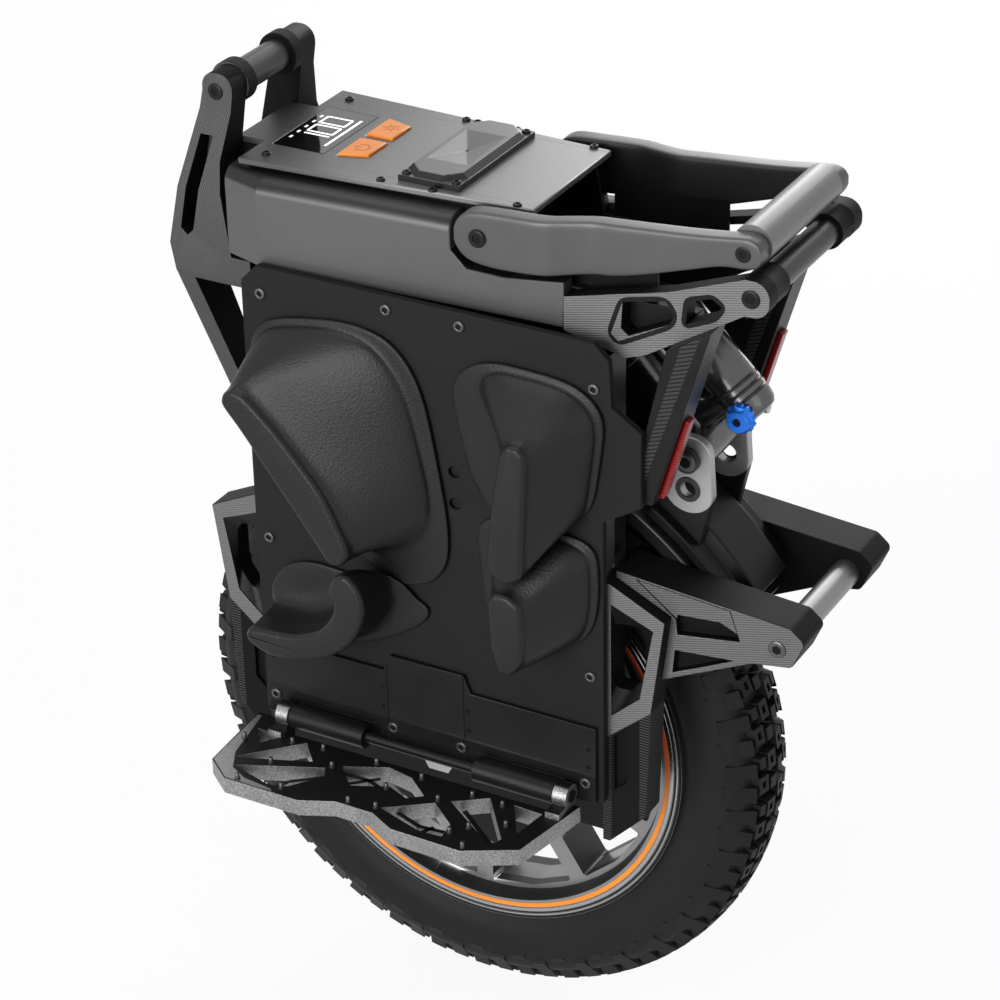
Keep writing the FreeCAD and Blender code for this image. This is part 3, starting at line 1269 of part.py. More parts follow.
def make_shock():
    bolt = d.link_bolt_diameter / 2
    eye = d.shock_eye_diameter / 2
    wide = d.link_gap - d.slide_gap
    rod = d.damper_diameter / 2
    can = d.reservoir_diameter / 2
    offset = d.reservoir_offset
    head = d.head_length
    pieces = [
        cylinder("shock_eye", "Y", (0, -wide, 0), eye, wide * 2),
        box("shock_head", (0, -rod, -rod), (head, rod * 2, rod * 2)),
        cylinder("shock_damper", "X", (0, 0, 0), rod, d.damper_end),
        box("shock_bridge", (head / 2, -can * 0.7, 0), (head / 2, can * 1.4, offset)),
        box("shock_block", (-can * 0.7, -can, offset - can * 0.8), (can * 1.4, can * 2, can * 1.6)),
        cylinder("shock_reservoir", "X", (-can * 0.4, 0, offset), can, d.reservoir_end + can * 0.4)]
    bore = cylinder("shock_eye_bore", "Y", (0, -wide, 0), bolt + d.running_gap, wide * 2)
    node(set_on_eye(cut("shock_body", fuse("shock_blank", pieces), bore)), "shock_body")
    upper = d.upper_eye_width / 2
    end = d.shock_length
    outside = d.can_diameter / 2
    sleeve = cylinder("can_outside", "X", (d.can_start, 0, 0), outside, d.can_end - d.can_start)
    room = cylinder("can_inside", "X", (d.can_start, 0, 0), rod + d.running_gap, d.can_end - d.can_start - 6)
    neck = box("can_neck", (d.can_end - 6, -upper, -eye * 0.8), (end - d.can_end + 6, upper * 2, eye * 1.6))
    ear = cylinder("can_eye", "Y", (end, -upper, 0), eye, upper * 2)
    slack = cylinder("can_eye_bore", "Y", (end, -upper, 0), d.mount_bolt_diameter / 2 + d.eye_slack,
                     upper * 2)
    whole = fuse("can_blank", [sleeve, neck, ear])
    node(set_on_eye(cut("shock_can", whole, fuse("can_hollows", [room, slack]))), "shock_can")
    knob = cylinder("knob_blank", "Y", (0, can + d.slide_gap, offset), d.knob_diameter / 2, d.knob_length)
    node(set_on_eye(group("shock_knob", [knob])), "shock_knob")
    # Upper mount on the back of the controller housing
    lug = d.lug_thickness
    back = -d.housing_rear
    side = upper + 1.5
    bolt = d.mount_bolt_diameter / 2
    plate = box("mount_plate", (back - lug, -side - lug, mount_z - eye - lug),
                (lug, (side + lug) * 2, (eye + lug) * 2))
    lugs = []
    bores = []
    for start in (side, -side - lug):
        lugs.append(box("mount_lug", (mount_x, start, mount_z - eye), (back - mount_x, lug, eye * 2)))
        lugs.append(cylinder("mount_boss", "Y", (mount_x, start, mount_z), eye, lug))
        bores.append(cylinder("mount_bore", "Y", (mount_x, start, mount_z), bolt, lug))
    node(cut("shock_mount", fuse("mount_blank", [plate] + lugs), fuse("mount_bores", bores)), "shock_mount")
    return cylinder("mount_bolt", "Y", (mount_x, -side - lug, mount_z), bolt, (side + lug) * 2)


# Screws, as one group of separate solids

# Panel screws as shares of the cases' half length and height; top screws as shares of the cases' half length
# and the top's half width
PANEL_SCREWS = ((0.938, 1.005), (0.179, 1.032), (-0.248, 1.032), (-1.007, 0.963), (0.972, 0.444),
                (-0.979, 0.317))
TOP_SCREWS = ((1.034, 0.8), (0.331, 0.853), (0.028, 0.853), (-0.441, 0.8))


def make_screws():
    radius = d.screw_diameter / 2
    height = d.screw_height
    screws = []
    for x, z in PANEL_SCREWS:
        left = cylinder("panel_screw", "Y", (case_half * x, panel_face, axle + d.case_top * z), radius,
                        height)
        screws += [left, mirror("panel_screw_right", left)]
    for x, y in TOP_SCREWS:
        left = cylinder("top_screw", "Z", (case_half * x, d.top_width / 2 * y, top_face), radius * 0.7,
                        height)
        screws += [left, mirror("top_screw_right", left)]
    for x in (d.hanger_mid_width / 2 - 2, -d.hanger_mid_width / 2 + 2, d.hanger_length / 2 - 8,
              8 - d.hanger_length / 2):
        left = cylinder("hanger_screw", "Y", (x, panel_face + d.hanger_bar, axle + d.hanger_bar_top - 8),
                        radius, height)
        screws += [left, mirror("hanger_screw_right", left)]
    return screws


make_tyre()
make_rim()
make_motor()
make_fork()
make_guard()
make_link()
make_bumper()
make_cases()
make_housing()
make_top()
make_bail()
bail_pivot = make_band()
make_uprights()
make_rear()
make_headlight()
make_panels()
make_hangers()
make_pedals()
make_pads()
mount_bolt = make_shock()
pivots = [bail_pivot, mirror("bail_pivot_right", bail_pivot), mount_bolt]
node(group("fasteners", pivots + make_screws()), "fasteners")
doc.recompute()

for obj in doc.Objects:
    if "Invalid" in obj.State or "Error" in obj.State:
        raise ValueError("%s is in error: %s" % (obj.Name, obj.State))

os.makedirs("parts", exist_ok=True)
for piece in nodes:
    if piece.Shape.isNull() or not piece.Shape.isValid() or not piece.Shape.Solids:
        raise ValueError("%s has no valid shape" % piece.Label)
    piece.Shape.exportStep("parts/%s.step" % piece.Label)
print("%d nodes" % len(nodes))
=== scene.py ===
import json
import math
import bmesh
import bpy
import numpy as np
from mathutils import Matrix, Vector


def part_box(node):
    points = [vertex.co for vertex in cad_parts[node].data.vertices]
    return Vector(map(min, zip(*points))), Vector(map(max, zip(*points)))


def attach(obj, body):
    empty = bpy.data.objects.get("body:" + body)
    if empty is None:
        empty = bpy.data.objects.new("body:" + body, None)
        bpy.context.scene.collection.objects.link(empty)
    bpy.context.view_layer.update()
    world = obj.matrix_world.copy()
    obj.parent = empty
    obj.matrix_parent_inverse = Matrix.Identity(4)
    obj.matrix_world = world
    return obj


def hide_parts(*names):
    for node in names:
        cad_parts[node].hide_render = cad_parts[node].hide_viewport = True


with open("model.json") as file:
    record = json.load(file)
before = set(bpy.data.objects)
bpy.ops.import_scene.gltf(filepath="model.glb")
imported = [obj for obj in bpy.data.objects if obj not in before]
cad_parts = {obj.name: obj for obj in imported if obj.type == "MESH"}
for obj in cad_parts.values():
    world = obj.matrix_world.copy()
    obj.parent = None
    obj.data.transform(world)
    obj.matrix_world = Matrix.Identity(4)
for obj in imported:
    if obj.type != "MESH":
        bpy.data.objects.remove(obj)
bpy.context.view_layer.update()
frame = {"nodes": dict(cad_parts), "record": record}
MM = 0.001
WHITE = (1.0, 1.0, 1.0, 1.0)
SIDES = (("left", 1), ("right", -1))

# Millimetres: points closer than SAME_SPOT are merged; the axle's height is also the tyre's radius
SAME_SPOT = 0.002
AXLE = 254.0

# The shock's lower eye, the directions along and across its slant, and its tank, which lies beside the damper
EYE = np.array((-190.92, 0.0, 541.36))
ALONG = np.array((math.sqrt(0.5), 0.0, math.sqrt(0.5)))
OFF = np.array((-math.sqrt(0.5), 0.0, math.sqrt(0.5)))
TANK = EYE + 50 * OFF


# Meshes worked out as arrays, in millimetres

class Skin:
    """Gathers the points and faces of one piece; each part of it is a grid of points."""

    def __init__(self):
        self.points = []
        self.faces = []
        self.count = 0

    def add(self, points, faces):
        """Points as an (n, 3) array and faces as rows of indices into it."""
        points = np.asarray(points, float).reshape(-1, 3)
        self.points.append(points)
        self.faces.extend((np.asarray(faces, int) + self.count).tolist())
        self.count += len(points)
        return self

    def grid(self, points, wrap_u=False, wrap_v=False):
        """A surface given on a (u, v) grid; each cell becomes a quad, and a wrapped direction closes."""
        nu, nv = points.shape[:2]
        u = np.arange(nu if wrap_u else nu - 1)[:, None]
        v = np.arange(nv if wrap_v else nv - 1)[None, :]
        u2, v2 = (u + 1) % nu, (v + 1) % nv
        quads = np.stack([u * nv + v, u2 * nv + v, u2 * nv + v2, u * nv + v2], axis=-1).reshape(-1, 4)
        return self.add(points, quads)

    def cap(self, ring):
        """A flat face over one ring of points."""
        return self.add(ring, [list(range(len(ring)))])

    def blocks(self, corners):
        """Hexahedra: an (n, 8, 3) array, four corners of the foot and then the four above them."""
        sides = np.array([[0, 1, 5, 4], [1, 2, 6, 5], [2, 3, 7, 6], [3, 0, 4, 7], [4, 5, 6, 7], [3, 2, 1, 0]])
        first = np.arange(len(corners))[:, None, None] * 8
        return self.add(corners, (first + sides[None]).reshape(-1, 4))

    def piece(self, name, body, slot, paint, sharp=35):
        """The finished object: doubles merged, faces turned outwards, riding on its body."""
        mesh = bpy.data.meshes.new(name)
        mesh.from_pydata((np.concatenate(self.points) * MM).tolist(), [], self.faces)
        work = bmesh.new()
        work.from_mesh(mesh)
        bmesh.ops.remove_doubles(work, verts=work.verts, dist=SAME_SPOT * MM)
        bmesh.ops.recalc_face_normals(work, faces=work.faces)
        work.to_mesh(mesh)
        work.free()
        return settle(mesh, name, body, slot, paint, sharp)


def settle(mesh, name, body, slot, paint, sharp):
    """Puts a mesh into the scene as a piece with one finish; edges past an angle stay sharp."""
    mesh.shade_smooth()
    mesh.set_sharp_from_angle(angle=math.radians(sharp))
    mesh.materials.append(paint)
    piece = bpy.data.objects.new(name, mesh)
    bpy.context.scene.collection.objects.link(piece)
    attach(piece, body)
    return piece


EDGE_ANGLE = 30
FLAT_ANGLE = 1.0


def bevel_on(piece, name, width, segments, limit):
    """Breaks a piece's edges by a bevel."""
    soften = piece.modifiers.new(name, "BEVEL")
    soften.width = width * MM
    soften.segments = segments
    soften.limit_method = limit
    soften.angle_limit = math.radians(EDGE_ANGLE)
    soften.use_clamp_overlap = True


def node_body(node):
    """The body that a node rides on."""
    for body, members in frame["record"]["behaviour"]["bodies"].items():
        if node in members:
            return body
    raise KeyError(node)


def node_slot(node):
    """The material slot that the record gives a node."""
    for part in frame["record"]["subparts"]:
        if part["node"] == node:
            return part["material_slot"]
    raise KeyError(node)


def edged(node, paint, bevel=0.0, corner=0.0):
    """A copy of a node with its doubles merged, flat faces joined and its edges broken by a small bevel;
    or, given a corner radius, only the long edges that run across the object are rounded."""
    mesh = frame["nodes"][node].data.copy()
    mesh.materials.clear()
    work = bmesh.new()
    work.from_mesh(mesh)
    bmesh.ops.remove_doubles(work, verts=work.verts, dist=SAME_SPOT * MM)
    flat = math.radians(FLAT_ANGLE)
    bmesh.ops.dissolve_limit(work, angle_limit=flat, verts=work.verts, edges=work.edges)
    if corner:
        weight = work.edges.layers.float.new("bevel_weight_edge")
        shortest, least_share = 20 * MM, 0.95
        for edge in work.edges:
            run = edge.verts[1].co - edge.verts[0].co
            edge[weight] = float(abs(run.y) > least_share * run.length and run.length > shortest)
    work.to_mesh(mesh)
    work.free()
    piece = settle(mesh, node + "_edged", node_body(node), node_slot(node), paint, EDGE_ANGLE)
    if corner:
        bevel_on(piece, "corner", corner, 5, "WEIGHT")
    else:
        bevel_on(piece, "edge", bevel, 2, "ANGLE")
    weld = piece.modifiers.new("weld", "WELD")
    weld.merge_threshold = SAME_SPOT * MM
    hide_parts(node)


def finish(node, paint):
    """The node as it is, with a finish of its own."""
    mesh = frame["nodes"][node].data
    mesh.materials.clear()
    mesh.materials.append(paint)


def spline(points, count, closed=False):
    """A smooth line through points (Catmull-Rom), as count points per span: a cubic of each span's two
    ends and their neighbours."""
    p = np.asarray(points, float)
    if closed:
        a, b, c, d = np.roll(p, 1, 0), p, np.roll(p, -1, 0), np.roll(p, -2, 0)
    else:
        whole = np.vstack([2 * p[:1] - p[1:2], p, 2 * p[-1:] - p[-2:-1]])
        a, b, c, d = whole[:-3], whole[1:-2], whole[2:-1], whole[3:]
    t = np.linspace(0, 1, count, endpoint=False)[None, :, None]
    a, b, c, d = (q[:, None, :] for q in (a, b, c, d))
    square, cube = 2 * a - 5 * b + 4 * c - d, 3 * b - a - 3 * c + d
    line = 0.5 * (2 * b + (c - a) * t + square * t ** 2 + cube * t ** 3)
    line = line.reshape(-1, p.shape[1])
    return line if closed else np.vstack([line, p[-1:]])


def turned(profile, steps, centre, along=(0, 1, 0), start=(0, 0, 1)):
    """A profile of (along, radius) turned about an axis through centre: each point is the centre, plus its
    length along the axis, plus its radius times a unit ring of cosine and sine across the axis."""
    axis = np.asarray(along, float) / np.linalg.norm(along)
    first = np.asarray(start, float) - axis * np.dot(start, axis)
    first /= np.linalg.norm(first)
    second = np.cross(axis, first)
    angle = np.linspace(0, 2 * np.pi, steps, endpoint=False)
    ring = np.cos(angle)[:, None] * first + np.sin(angle)[:, None] * second
    length, radius = np.asarray(profile, float).T[:, :, None, None]
    return np.asarray(centre, float) + length * axis + radius * ring[None]


def rounded_box(angle, power):
    """A unit ring between a circle (power 1) and a square (power 0): cosine and sine raised to the power,
    with their signs kept."""
    across, up = np.cos(angle), np.sin(angle)
    return np.sign(across) * np.abs(across) ** power, np.sign(up) * np.abs(up) ** power


# Shader expressions

class Value:
    """A socket in a shader expression; each operator adds one Math node."""

    def __init__(self, paint, socket):
        self.paint = paint
        self.socket = socket

    def math(self, operation, *others):
        """A Math node on this value and others."""
        inputs = dict(enumerate((self,) + others))
        return self.paint.node("ShaderNodeMath", {"operation": operation}, inputs)

    def __add__(self, other):
        return self.math("ADD", other)

    def __sub__(self, other):
        return self.math("SUBTRACT", other)

    def __mul__(self, other):
        return self.math("MULTIPLY", other)

    def __truediv__(self, other):
        return self.math("DIVIDE", other)

    def __pow__(self, other):
        return self.math("POWER", other)

    def __rsub__(self, other):
        return self.paint.node("ShaderNodeMath", {"operation": "SUBTRACT"}, {0: other, 1: self})

    __radd__ = __add__
    __rmul__ = __mul__

    def abs(self):
        """The value without its sign."""
        return self.math("ABSOLUTE")

    def fract(self):
        """What is left above the whole number below."""
        return self.math("FRACT")

    def step(self, low, high):
        """0 below low, 1 above high, smooth between."""
        return self.paint.node("ShaderNodeMapRange", {"interpolation_type": "SMOOTHSTEP"},
                               {"Value": self, "From Min": low, "From Max": high})


class Nodes:
    """A node tree that expressions add their nodes to."""

    def __init__(self, tree):
        self.tree = tree

    def node(self, kind, settings, inputs, output=0):
        """Any node: its settings first, then its sockets' values or links."""
        made = self.tree.nodes.new(kind)
        for key, value in settings.items():
            setattr(made, key, value)
        for key, value in inputs.items():
            self.feed(made.inputs[key], value)
        return Value(self, made.outputs[output])

    def feed(self, socket, value):
        """Links a value to a socket, or sets the socket to a constant."""
        if isinstance(value, Value):
            self.tree.links.new(value.socket, socket)
        else:
            socket.default_value = value

    def backdrop_rays(self):
        """1 for rays that show the backdrop: from the camera, off gloss and through glass."""
        seen = self.node("ShaderNodeLightPath", {}, {}, "Is Camera Ray")
        for ray in ("Is Glossy Ray", "Is Transmission Ray"):
            seen = seen.math("MAXIMUM", self.node("ShaderNodeLightPath", {}, {}, ray))
        return seen


class Paint(Nodes):
    """One material: its nodes and its Principled shader."""

    def __init__(self, name, color, rough, metal=0.0, **fixed):
        self.material = bpy.data.materials.new(name)
        self.material.use_nodes = True
        super().__init__(self.material.node_tree)
        self.shader = self.tree.nodes["Principled BSDF"]
        self.set("Base Color", tuple(color) + (1.0,))
        self.set("Roughness", rough)
        self.set("Metallic", metal)
        for socket, value in fixed.items():
            self.set(socket.replace("_", " "), value)
        self.place = self.node("ShaderNodeTexCoord", {}, {}, "Object")

    def set(self, name, value):
        """Feeds one of the shader's sockets."""
        self.feed(self.shader.inputs[name], value)

    def axis(self, name):
        """One coordinate of the piece, in metres."""
        return self.node("ShaderNodeSeparateXYZ", {}, {0: self.place}, name)

    def facing(self, name):
        """One part of the surface's direction, in the piece's own axes, so that it turns with the piece."""
        way = self.node("ShaderNodeNewGeometry", {}, {}, "Normal")
        spaces = {"vector_type": "NORMAL", "convert_from": "WORLD", "convert_to": "OBJECT"}
        own = self.node("ShaderNodeVectorTransform", spaces, {0: way})
        return self.node("ShaderNodeSeparateXYZ", {}, {0: own}, name)

    def outward(self):
        """How far the surface looks away from the object's middle plane: 1 outside, -1 on the inner side."""
        return self.facing("Y") * (self.axis("Y") * 1000.0).math("SIGN")

    def noise(self, scale, detail=2.0, rough=0.5, place=None):
        """Cloudy noise from 0 to 1."""
        sockets = {"Vector": place or self.place, "Scale": scale, "Detail": detail, "Roughness": rough}
        return self.node("ShaderNodeTexNoise", {}, sockets)

    def pebbles(self, scale):
        """Rounded cells: the distance to the nearest of scattered points."""
        sockets = {"Vector": self.place, "Scale": scale}
        return self.node("ShaderNodeTexVoronoi", {"feature": "SMOOTH_F1"}, sockets)

    def stretch(self, x, y, z):
        """The coordinates scaled apart along the axes."""
        return self.node("ShaderNodeMapping", {}, {"Vector": self.place, "Scale": (x, y, z)})

    def mix(self, share, low, high):
        """A colour between two."""
        low = low if isinstance(low, Value) else tuple(low)[:3] + (1.0,)
        high = high if isinstance(high, Value) else tuple(high)[:3] + (1.0,)
        return self.node("ShaderNodeMix", {"data_type": "RGBA"}, {0: share, 6: low, 7: high}, 2)

    def color(self, value):
        """Feeds the base colour."""
        self.set("Base Color", value)

    def rough(self, value):
        """Feeds the roughness."""
        self.set("Roughness", value)

    def bump(self, height, depth, strength=1.0):
        """Relief of a height from 0 to 1, depth millimetres deep."""
        sockets = {"Strength": strength, "Distance": depth * MM, "Height": height}
        self.set("Normal", self.node("ShaderNodeBump", {}, sockets))


def grey(level):
    """A grey with a trace of blue."""
    return (level, level, level * 1.02)


def scaled(color, share):
    """A colour made lighter or darker."""
    return tuple(share * part for part in color)


def mottled(name, low, high, rough, spread, scale, depth=0.0, metal=0.0, **fixed):
    """A finish whose shade and gloss wander a little, with a fine relief."""
    paint = Paint(name, low, rough, metal, **fixed)
    cloud = paint.noise(scale, 4.0, 0.6)
    paint.color(paint.mix(cloud, low, high))
    paint.rough(rough - spread / 2 + cloud * spread)
    if depth:
        paint.bump(paint.noise(scale * 14, 2.0, 0.5), depth)
    return paint.material


def machined(name, face, side, pitch, lean, rough=0.4, metal=0.4, width=0.0, comb=()):
    """Painted alloy whose outer face shows fine parallel cutter lines: stripes of x times the sine plus z
    times the cosine of a lean, at one pitch. Faces short of a half width stay dark. A comb is (height, near
    length, far length): below a slanted line from that height the face is dark, with teeth near the two
    lengths."""
    paint = Paint(name, face, rough, metal, Specular_IOR_Level=0.13)
    turn = math.radians(lean)
    line = (paint.axis("X") * math.sin(turn) + paint.axis("Z") * math.cos(turn)) / (pitch * MM)
    wave = (line.fract() - 0.5).abs() * 2.0
    outer = paint.outward().step(0.75, 0.92)
    if width:
        outer = outer * paint.axis("Y").abs().step((width - 0.8) * MM, (width - 0.4) * MM)
    ridge = wave.step(0.25, 0.75)
    cloud = paint.noise(30.0, 3.0)
    bright = paint.mix(ridge, scaled(face, 0.8), scaled(face, 1.15))
    dark = paint.mix(cloud, scaled(side, 0.8), scaled(side, 1.2))
    relief = ridge * outer
    if comb:
        height, near, far = comb
        slope, tooth_pitch, tooth_length = 0.857, 2.4, 7.0
        along = paint.axis("X").abs()
        low = 1.0 - (paint.axis("Z") - along * slope).step((height - 0.6) * MM, (height + 0.6) * MM)
        start, end = near + tooth_length, far - tooth_length
        edge = 1.0 - along.step(start * MM, (start + 1) * MM) + along.step((end - 1) * MM, end * MM)
        teeth = (paint.axis("Z") / (tooth_pitch * MM)).fract().step(0.4, 0.6) * edge
        dark = paint.mix(teeth * low, dark, scaled(face, 0.35))
        relief = relief * (1.0 - low) + teeth * low
        outer = outer * (1.0 - low)
    paint.color(paint.mix(outer, dark, bright))
    paint.rough(rough + 0.16 + 0.1 * cloud - 0.22 * outer)
    paint.bump(relief, 0.25, 0.7)
    return paint.material


def dull(name, low, high, rough, spread, scale, depth=0.0):
    """A black finish with little gloss."""
    return mottled(name, low, high, rough, spread, scale, depth, 0.0, Specular_IOR_Level=0.14)


def bail_paint(name):
    """Satin grey outside; the side turned to the middle is black."""
    paint = Paint(name, grey(0.2), 0.36, 0.3, Specular_IOR_Level=0.4)
    inner = 1.0 - paint.outward().step(-0.75, -0.55)
    cloud = paint.noise(24.0, 4.0)
    satin = paint.mix(cloud, grey(0.070), grey(0.090))
    black = paint.mix(cloud, grey(0.005), grey(0.009))
    paint.color(paint.mix(inner, satin, black))
    paint.rough(0.32 + 0.08 * cloud + 0.1 * inner)
    return paint.material


def pillar_paint(name):
    """Black, with a strip of slanted teeth along the front half of its outer face."""
    paint = Paint(name, grey(0.012), 0.4, 0.0, Specular_IOR_Level=0.16)
    foot, tall = 0.530, 0.102
    front, lean, wide, flare = -0.170, 0.030, 0.020, 0.015
    rise = (paint.axis("Z") - foot) / tall
    back = ((front - rise * lean) - paint.axis("X")) / (wide + rise * flare)
    side = paint.facing("Y").abs().step(0.8, 0.9)
    strip = back.step(0.04, 0.08) * (1.0 - back.step(0.34, 0.38)) * side
    slant, pitch = 0.35, 3.2
    teeth = ((paint.axis("Z") + paint.axis("X") * slant) / (pitch * MM)).fract()
    tooth = (teeth - 0.5).abs().step(0.12, 0.2) * strip
    cloud = paint.noise(35.0, 3.0)
    plain = paint.mix(cloud, grey(0.004), grey(0.009))
    paint.color(paint.mix(tooth, plain, grey(0.04)))
    paint.rough(0.34 + 0.12 * cloud)
    paint.bump(tooth, 0.5, 0.8)
    return paint.material


def hanger_paint(name):
    """Satin black plates that meet at two upright seams."""
    paint = Paint(name, grey(0.008), 0.32, 0.0, Specular_IOR_Level=0.16)
    ahead, behind = ((paint.axis("X") - spot).abs() for spot in (0.036, -0.033))
    seam = 1.0 - ahead.step(0.2 * MM, 0.7 * MM) * behind.step(0.2 * MM, 0.7 * MM)
    cloud = paint.noise(26.0, 4.0)
    paint.color(paint.mix(seam, paint.mix(cloud, grey(0.006), grey(0.012)), grey(0.002)))
    paint.rough(0.30 + 0.12 * cloud)
    paint.bump(1.0 - seam, 0.6, 0.8)
    return paint.material


def grained(name, low, high, size, depth, rough, gloss):
    """Moulded skin: round grains of one size with a finer noise over them."""
    paint = Paint(name, low, rough, 0.0, Specular_IOR_Level=gloss)
    pebble = paint.pebbles(1.0 / (size * MM))
    fine = paint.noise(2.5 / (size * MM), 3.0)
    cloud = paint.noise(18.0, 4.0)
    paint.color(paint.mix(cloud * 0.6 + pebble * 0.4, low, high))
    paint.rough(rough + 0.12 * (cloud - 0.5) + 0.06 * fine)
    paint.bump(pebble * 0.7 + fine * 0.3, depth)
    return paint.material


def brushed(name, low, high, rough, metal=1.0):
    """Metal with fine scratches drawn out across the object."""
    paint = Paint(name, low, rough, metal)
    hair = paint.noise(1.0, 3.0, 0.7, paint.stretch(900, 8, 900))
    paint.color(paint.mix(hair, low, high))
    paint.rough(rough - 0.08 + hair * 0.16)
    return paint.material


def pedal_paint(name):
    """Black anodised on the level faces and the hinge knuckles, bare milled metal on the sides."""
    paint = Paint(name, grey(0.5), 0.35, 0.9, Specular_IOR_Level=0.16)
    reach, half = 0.128, 0.118
    beside = paint.axis("Y").abs().step(reach, reach + MM)
    knuckle = (1.0 - beside) * (1.0 - paint.axis("X").abs().step(half, half + MM))
    level = paint.facing("Z").step(0.82, 0.95).math("MAXIMUM", knuckle)
    speck = paint.noise(900.0, 2.0, 0.6)
    cloud = paint.noise(40.0, 3.0)
    bare = paint.mix(speck.step(0.3, 0.7) * 0.6 + cloud * 0.4, grey(0.09), grey(0.42))
    black = paint.mix(cloud, grey(0.004), grey(0.008))
    paint.color(paint.mix(level, bare, black))
    paint.set("Metallic", 0.9 - level * 0.85)
    paint.rough(0.3 + 0.16 * speck + level * 0.08)
    paint.bump(speck * (1.0 - level), 0.25)
    return paint.material


def stripe_paint(name):
    """The rim's ring: orange low down, running to red towards its top."""
    paint = Paint(name, (0.9, 0.3, 0.02), 0.35)
    rise = paint.axis("Z").step(0.22, 0.30)
    paint.color(paint.mix(rise, (0.95, 0.27, 0.010), (0.85, 0.10, 0.008)))
    paint.rough(0.32 + 0.1 * paint.noise(60.0))
    return paint.material


def rim_paint(name):
    """Cast silver; the spokes' flanks are dark, and so are the outer parts of the barrel's inner wall."""
    paint = Paint(name, grey(0.3), 0.36, 0.85)
    x, z = paint.axis("X"), paint.axis("Z") - AXLE * MM
    reach = (x * x + z * z) ** 0.5
    inward = (paint.facing("X") * x + paint.facing("Z") * z) / reach
    hub, barrel, lip, middle = 0.117, 0.150, 0.166, 0.010
    blend = 2 * MM
    beyond = reach.step(barrel, barrel + blend) * paint.axis("Y").abs().step(middle, middle + MM)
    wall = (1.0 - inward.step(-0.8, -0.5)) * beyond
    spoke = reach.step(hub, hub + blend) * inward.step(-0.6, -0.4)
    flank = (1.0 - paint.facing("Y").abs().step(0.5, 0.7)) * spoke
    dark = wall.math("MAXIMUM", flank * (1.0 - reach.step(lip, lip + blend)))
    cloud = paint.noise(40.0, 4.0, 0.6)
    paint.color(paint.mix(dark, paint.mix(cloud, grey(0.20), grey(0.30)), grey(0.012)))
    paint.set("Metallic", 0.85 - dark * 0.85)
    paint.rough(0.30 + 0.08 * cloud + dark * 0.15)
    return paint.material


def band_paint(name):
    """Satin grey on the upright faces; the bevel below the top plate is black."""
    paint = Paint(name, grey(0.1), 0.38, 0.35)
    level = paint.facing("Z").step(0.25, 0.45)
    cloud = paint.noise(20.0, 4.0)
    satin = paint.mix(cloud, grey(0.074), grey(0.092))
    black = paint.mix(cloud, grey(0.008), grey(0.014))
    paint.color(paint.mix(level, satin, black))
    paint.rough(0.36 + 0.08 * cloud)
    paint.bump(paint.noise(280.0), 0.01)
    return paint.material


def top_paint(name):
    """Satin grey with a painted reflection darkening it towards the front, and a fine border line scored near
    each long edge.
    """
    paint = Paint(name, grey(0.2), 0.36, 0.45)
    # Painted reflection: ahead is its share, which darkens the plate towards its front
    ahead = paint.axis("X").step(0.02, 0.15)
    border = 0.056
    score = 1.0 - (paint.axis("Y").abs() - border).abs().step(0.2 * MM, 0.6 * MM)
    cloud = paint.noise(16.0, 4.0)
    plain = paint.mix(cloud, grey(0.17), grey(0.205))
    shade = paint.mix(ahead, plain, grey(0.085))
    paint.color(paint.mix(score * 0.5, shade, grey(0.02)))
    paint.rough(0.32 + 0.1 * cloud)
    paint.bump(1.0 - score, 0.2, 0.5)
    return paint.material


def hatch_paint(name):
    """Satin grey on top; the steep edges are black."""
    paint = Paint(name, grey(0.1), 0.36, 0.4)
    steep = 1.0 - paint.facing("Z").step(0.75, 0.9)
    cloud = paint.noise(30.0, 4.0)
    paint.color(paint.mix(steep, paint.mix(cloud, grey(0.10), grey(0.13)), grey(0.010)))
    paint.rough(0.32 + 0.1 * cloud)
    return paint.material


def link_paint(name):
    """Bead-blasted silver within a round-ended lobe about the two bores, black below it."""
    paint = Paint(name, grey(0.45), 0.42, 0.7, Specular_IOR_Level=0.2)
    upper, lower, middle = 0.5414, 0.5160, -0.1915
    half_wide, half_tall, edge = 0.0205, 0.0195, 0.535
    x, z = (paint.axis("X") - middle) / half_wide, paint.axis("Z")
    over = ((z - upper).math("MAXIMUM", 0.0) + (lower - z).math("MAXIMUM", 0.0)) / half_tall
    low = (x * x + over * over).step(0.96, 1.02) * (1.0 - z.step(edge, edge + 3 * MM))
    cloud = paint.noise(60.0, 4.0, 0.6)
    paint.color(paint.mix(low, paint.mix(cloud, grey(0.34), grey(0.44)), grey(0.008)))
    paint.set("Metallic", 0.7 - low * 0.7)
    paint.rough(0.38 + 0.08 * cloud)
    return paint.material


def lamp_paint(name):
    """Red moulded lens with fine prisms across it."""
    paint = Paint(name, (0.35, 0.006, 0.008), 0.2, 0.0, Specular_IOR_Level=0.3)
    prism = (paint.axis("Z") / (2.2 * MM)).fract().step(0.2, 0.8)
    paint.color(paint.mix(prism, (0.16, 0.003, 0.004), (0.42, 0.010, 0.012)))
    paint.bump(prism, 0.3, 0.5)
    return paint.material


def glowing(name, color, strength):
    """A lit mark on the display."""
    paint = Paint(name, color, 0.4, Emission_Strength=strength)
    glow = paint.mix(paint.noise(400.0), scaled(color, 0.92), color)
    paint.color(glow)
    paint.set("Emission Color", glow)
    return paint.material


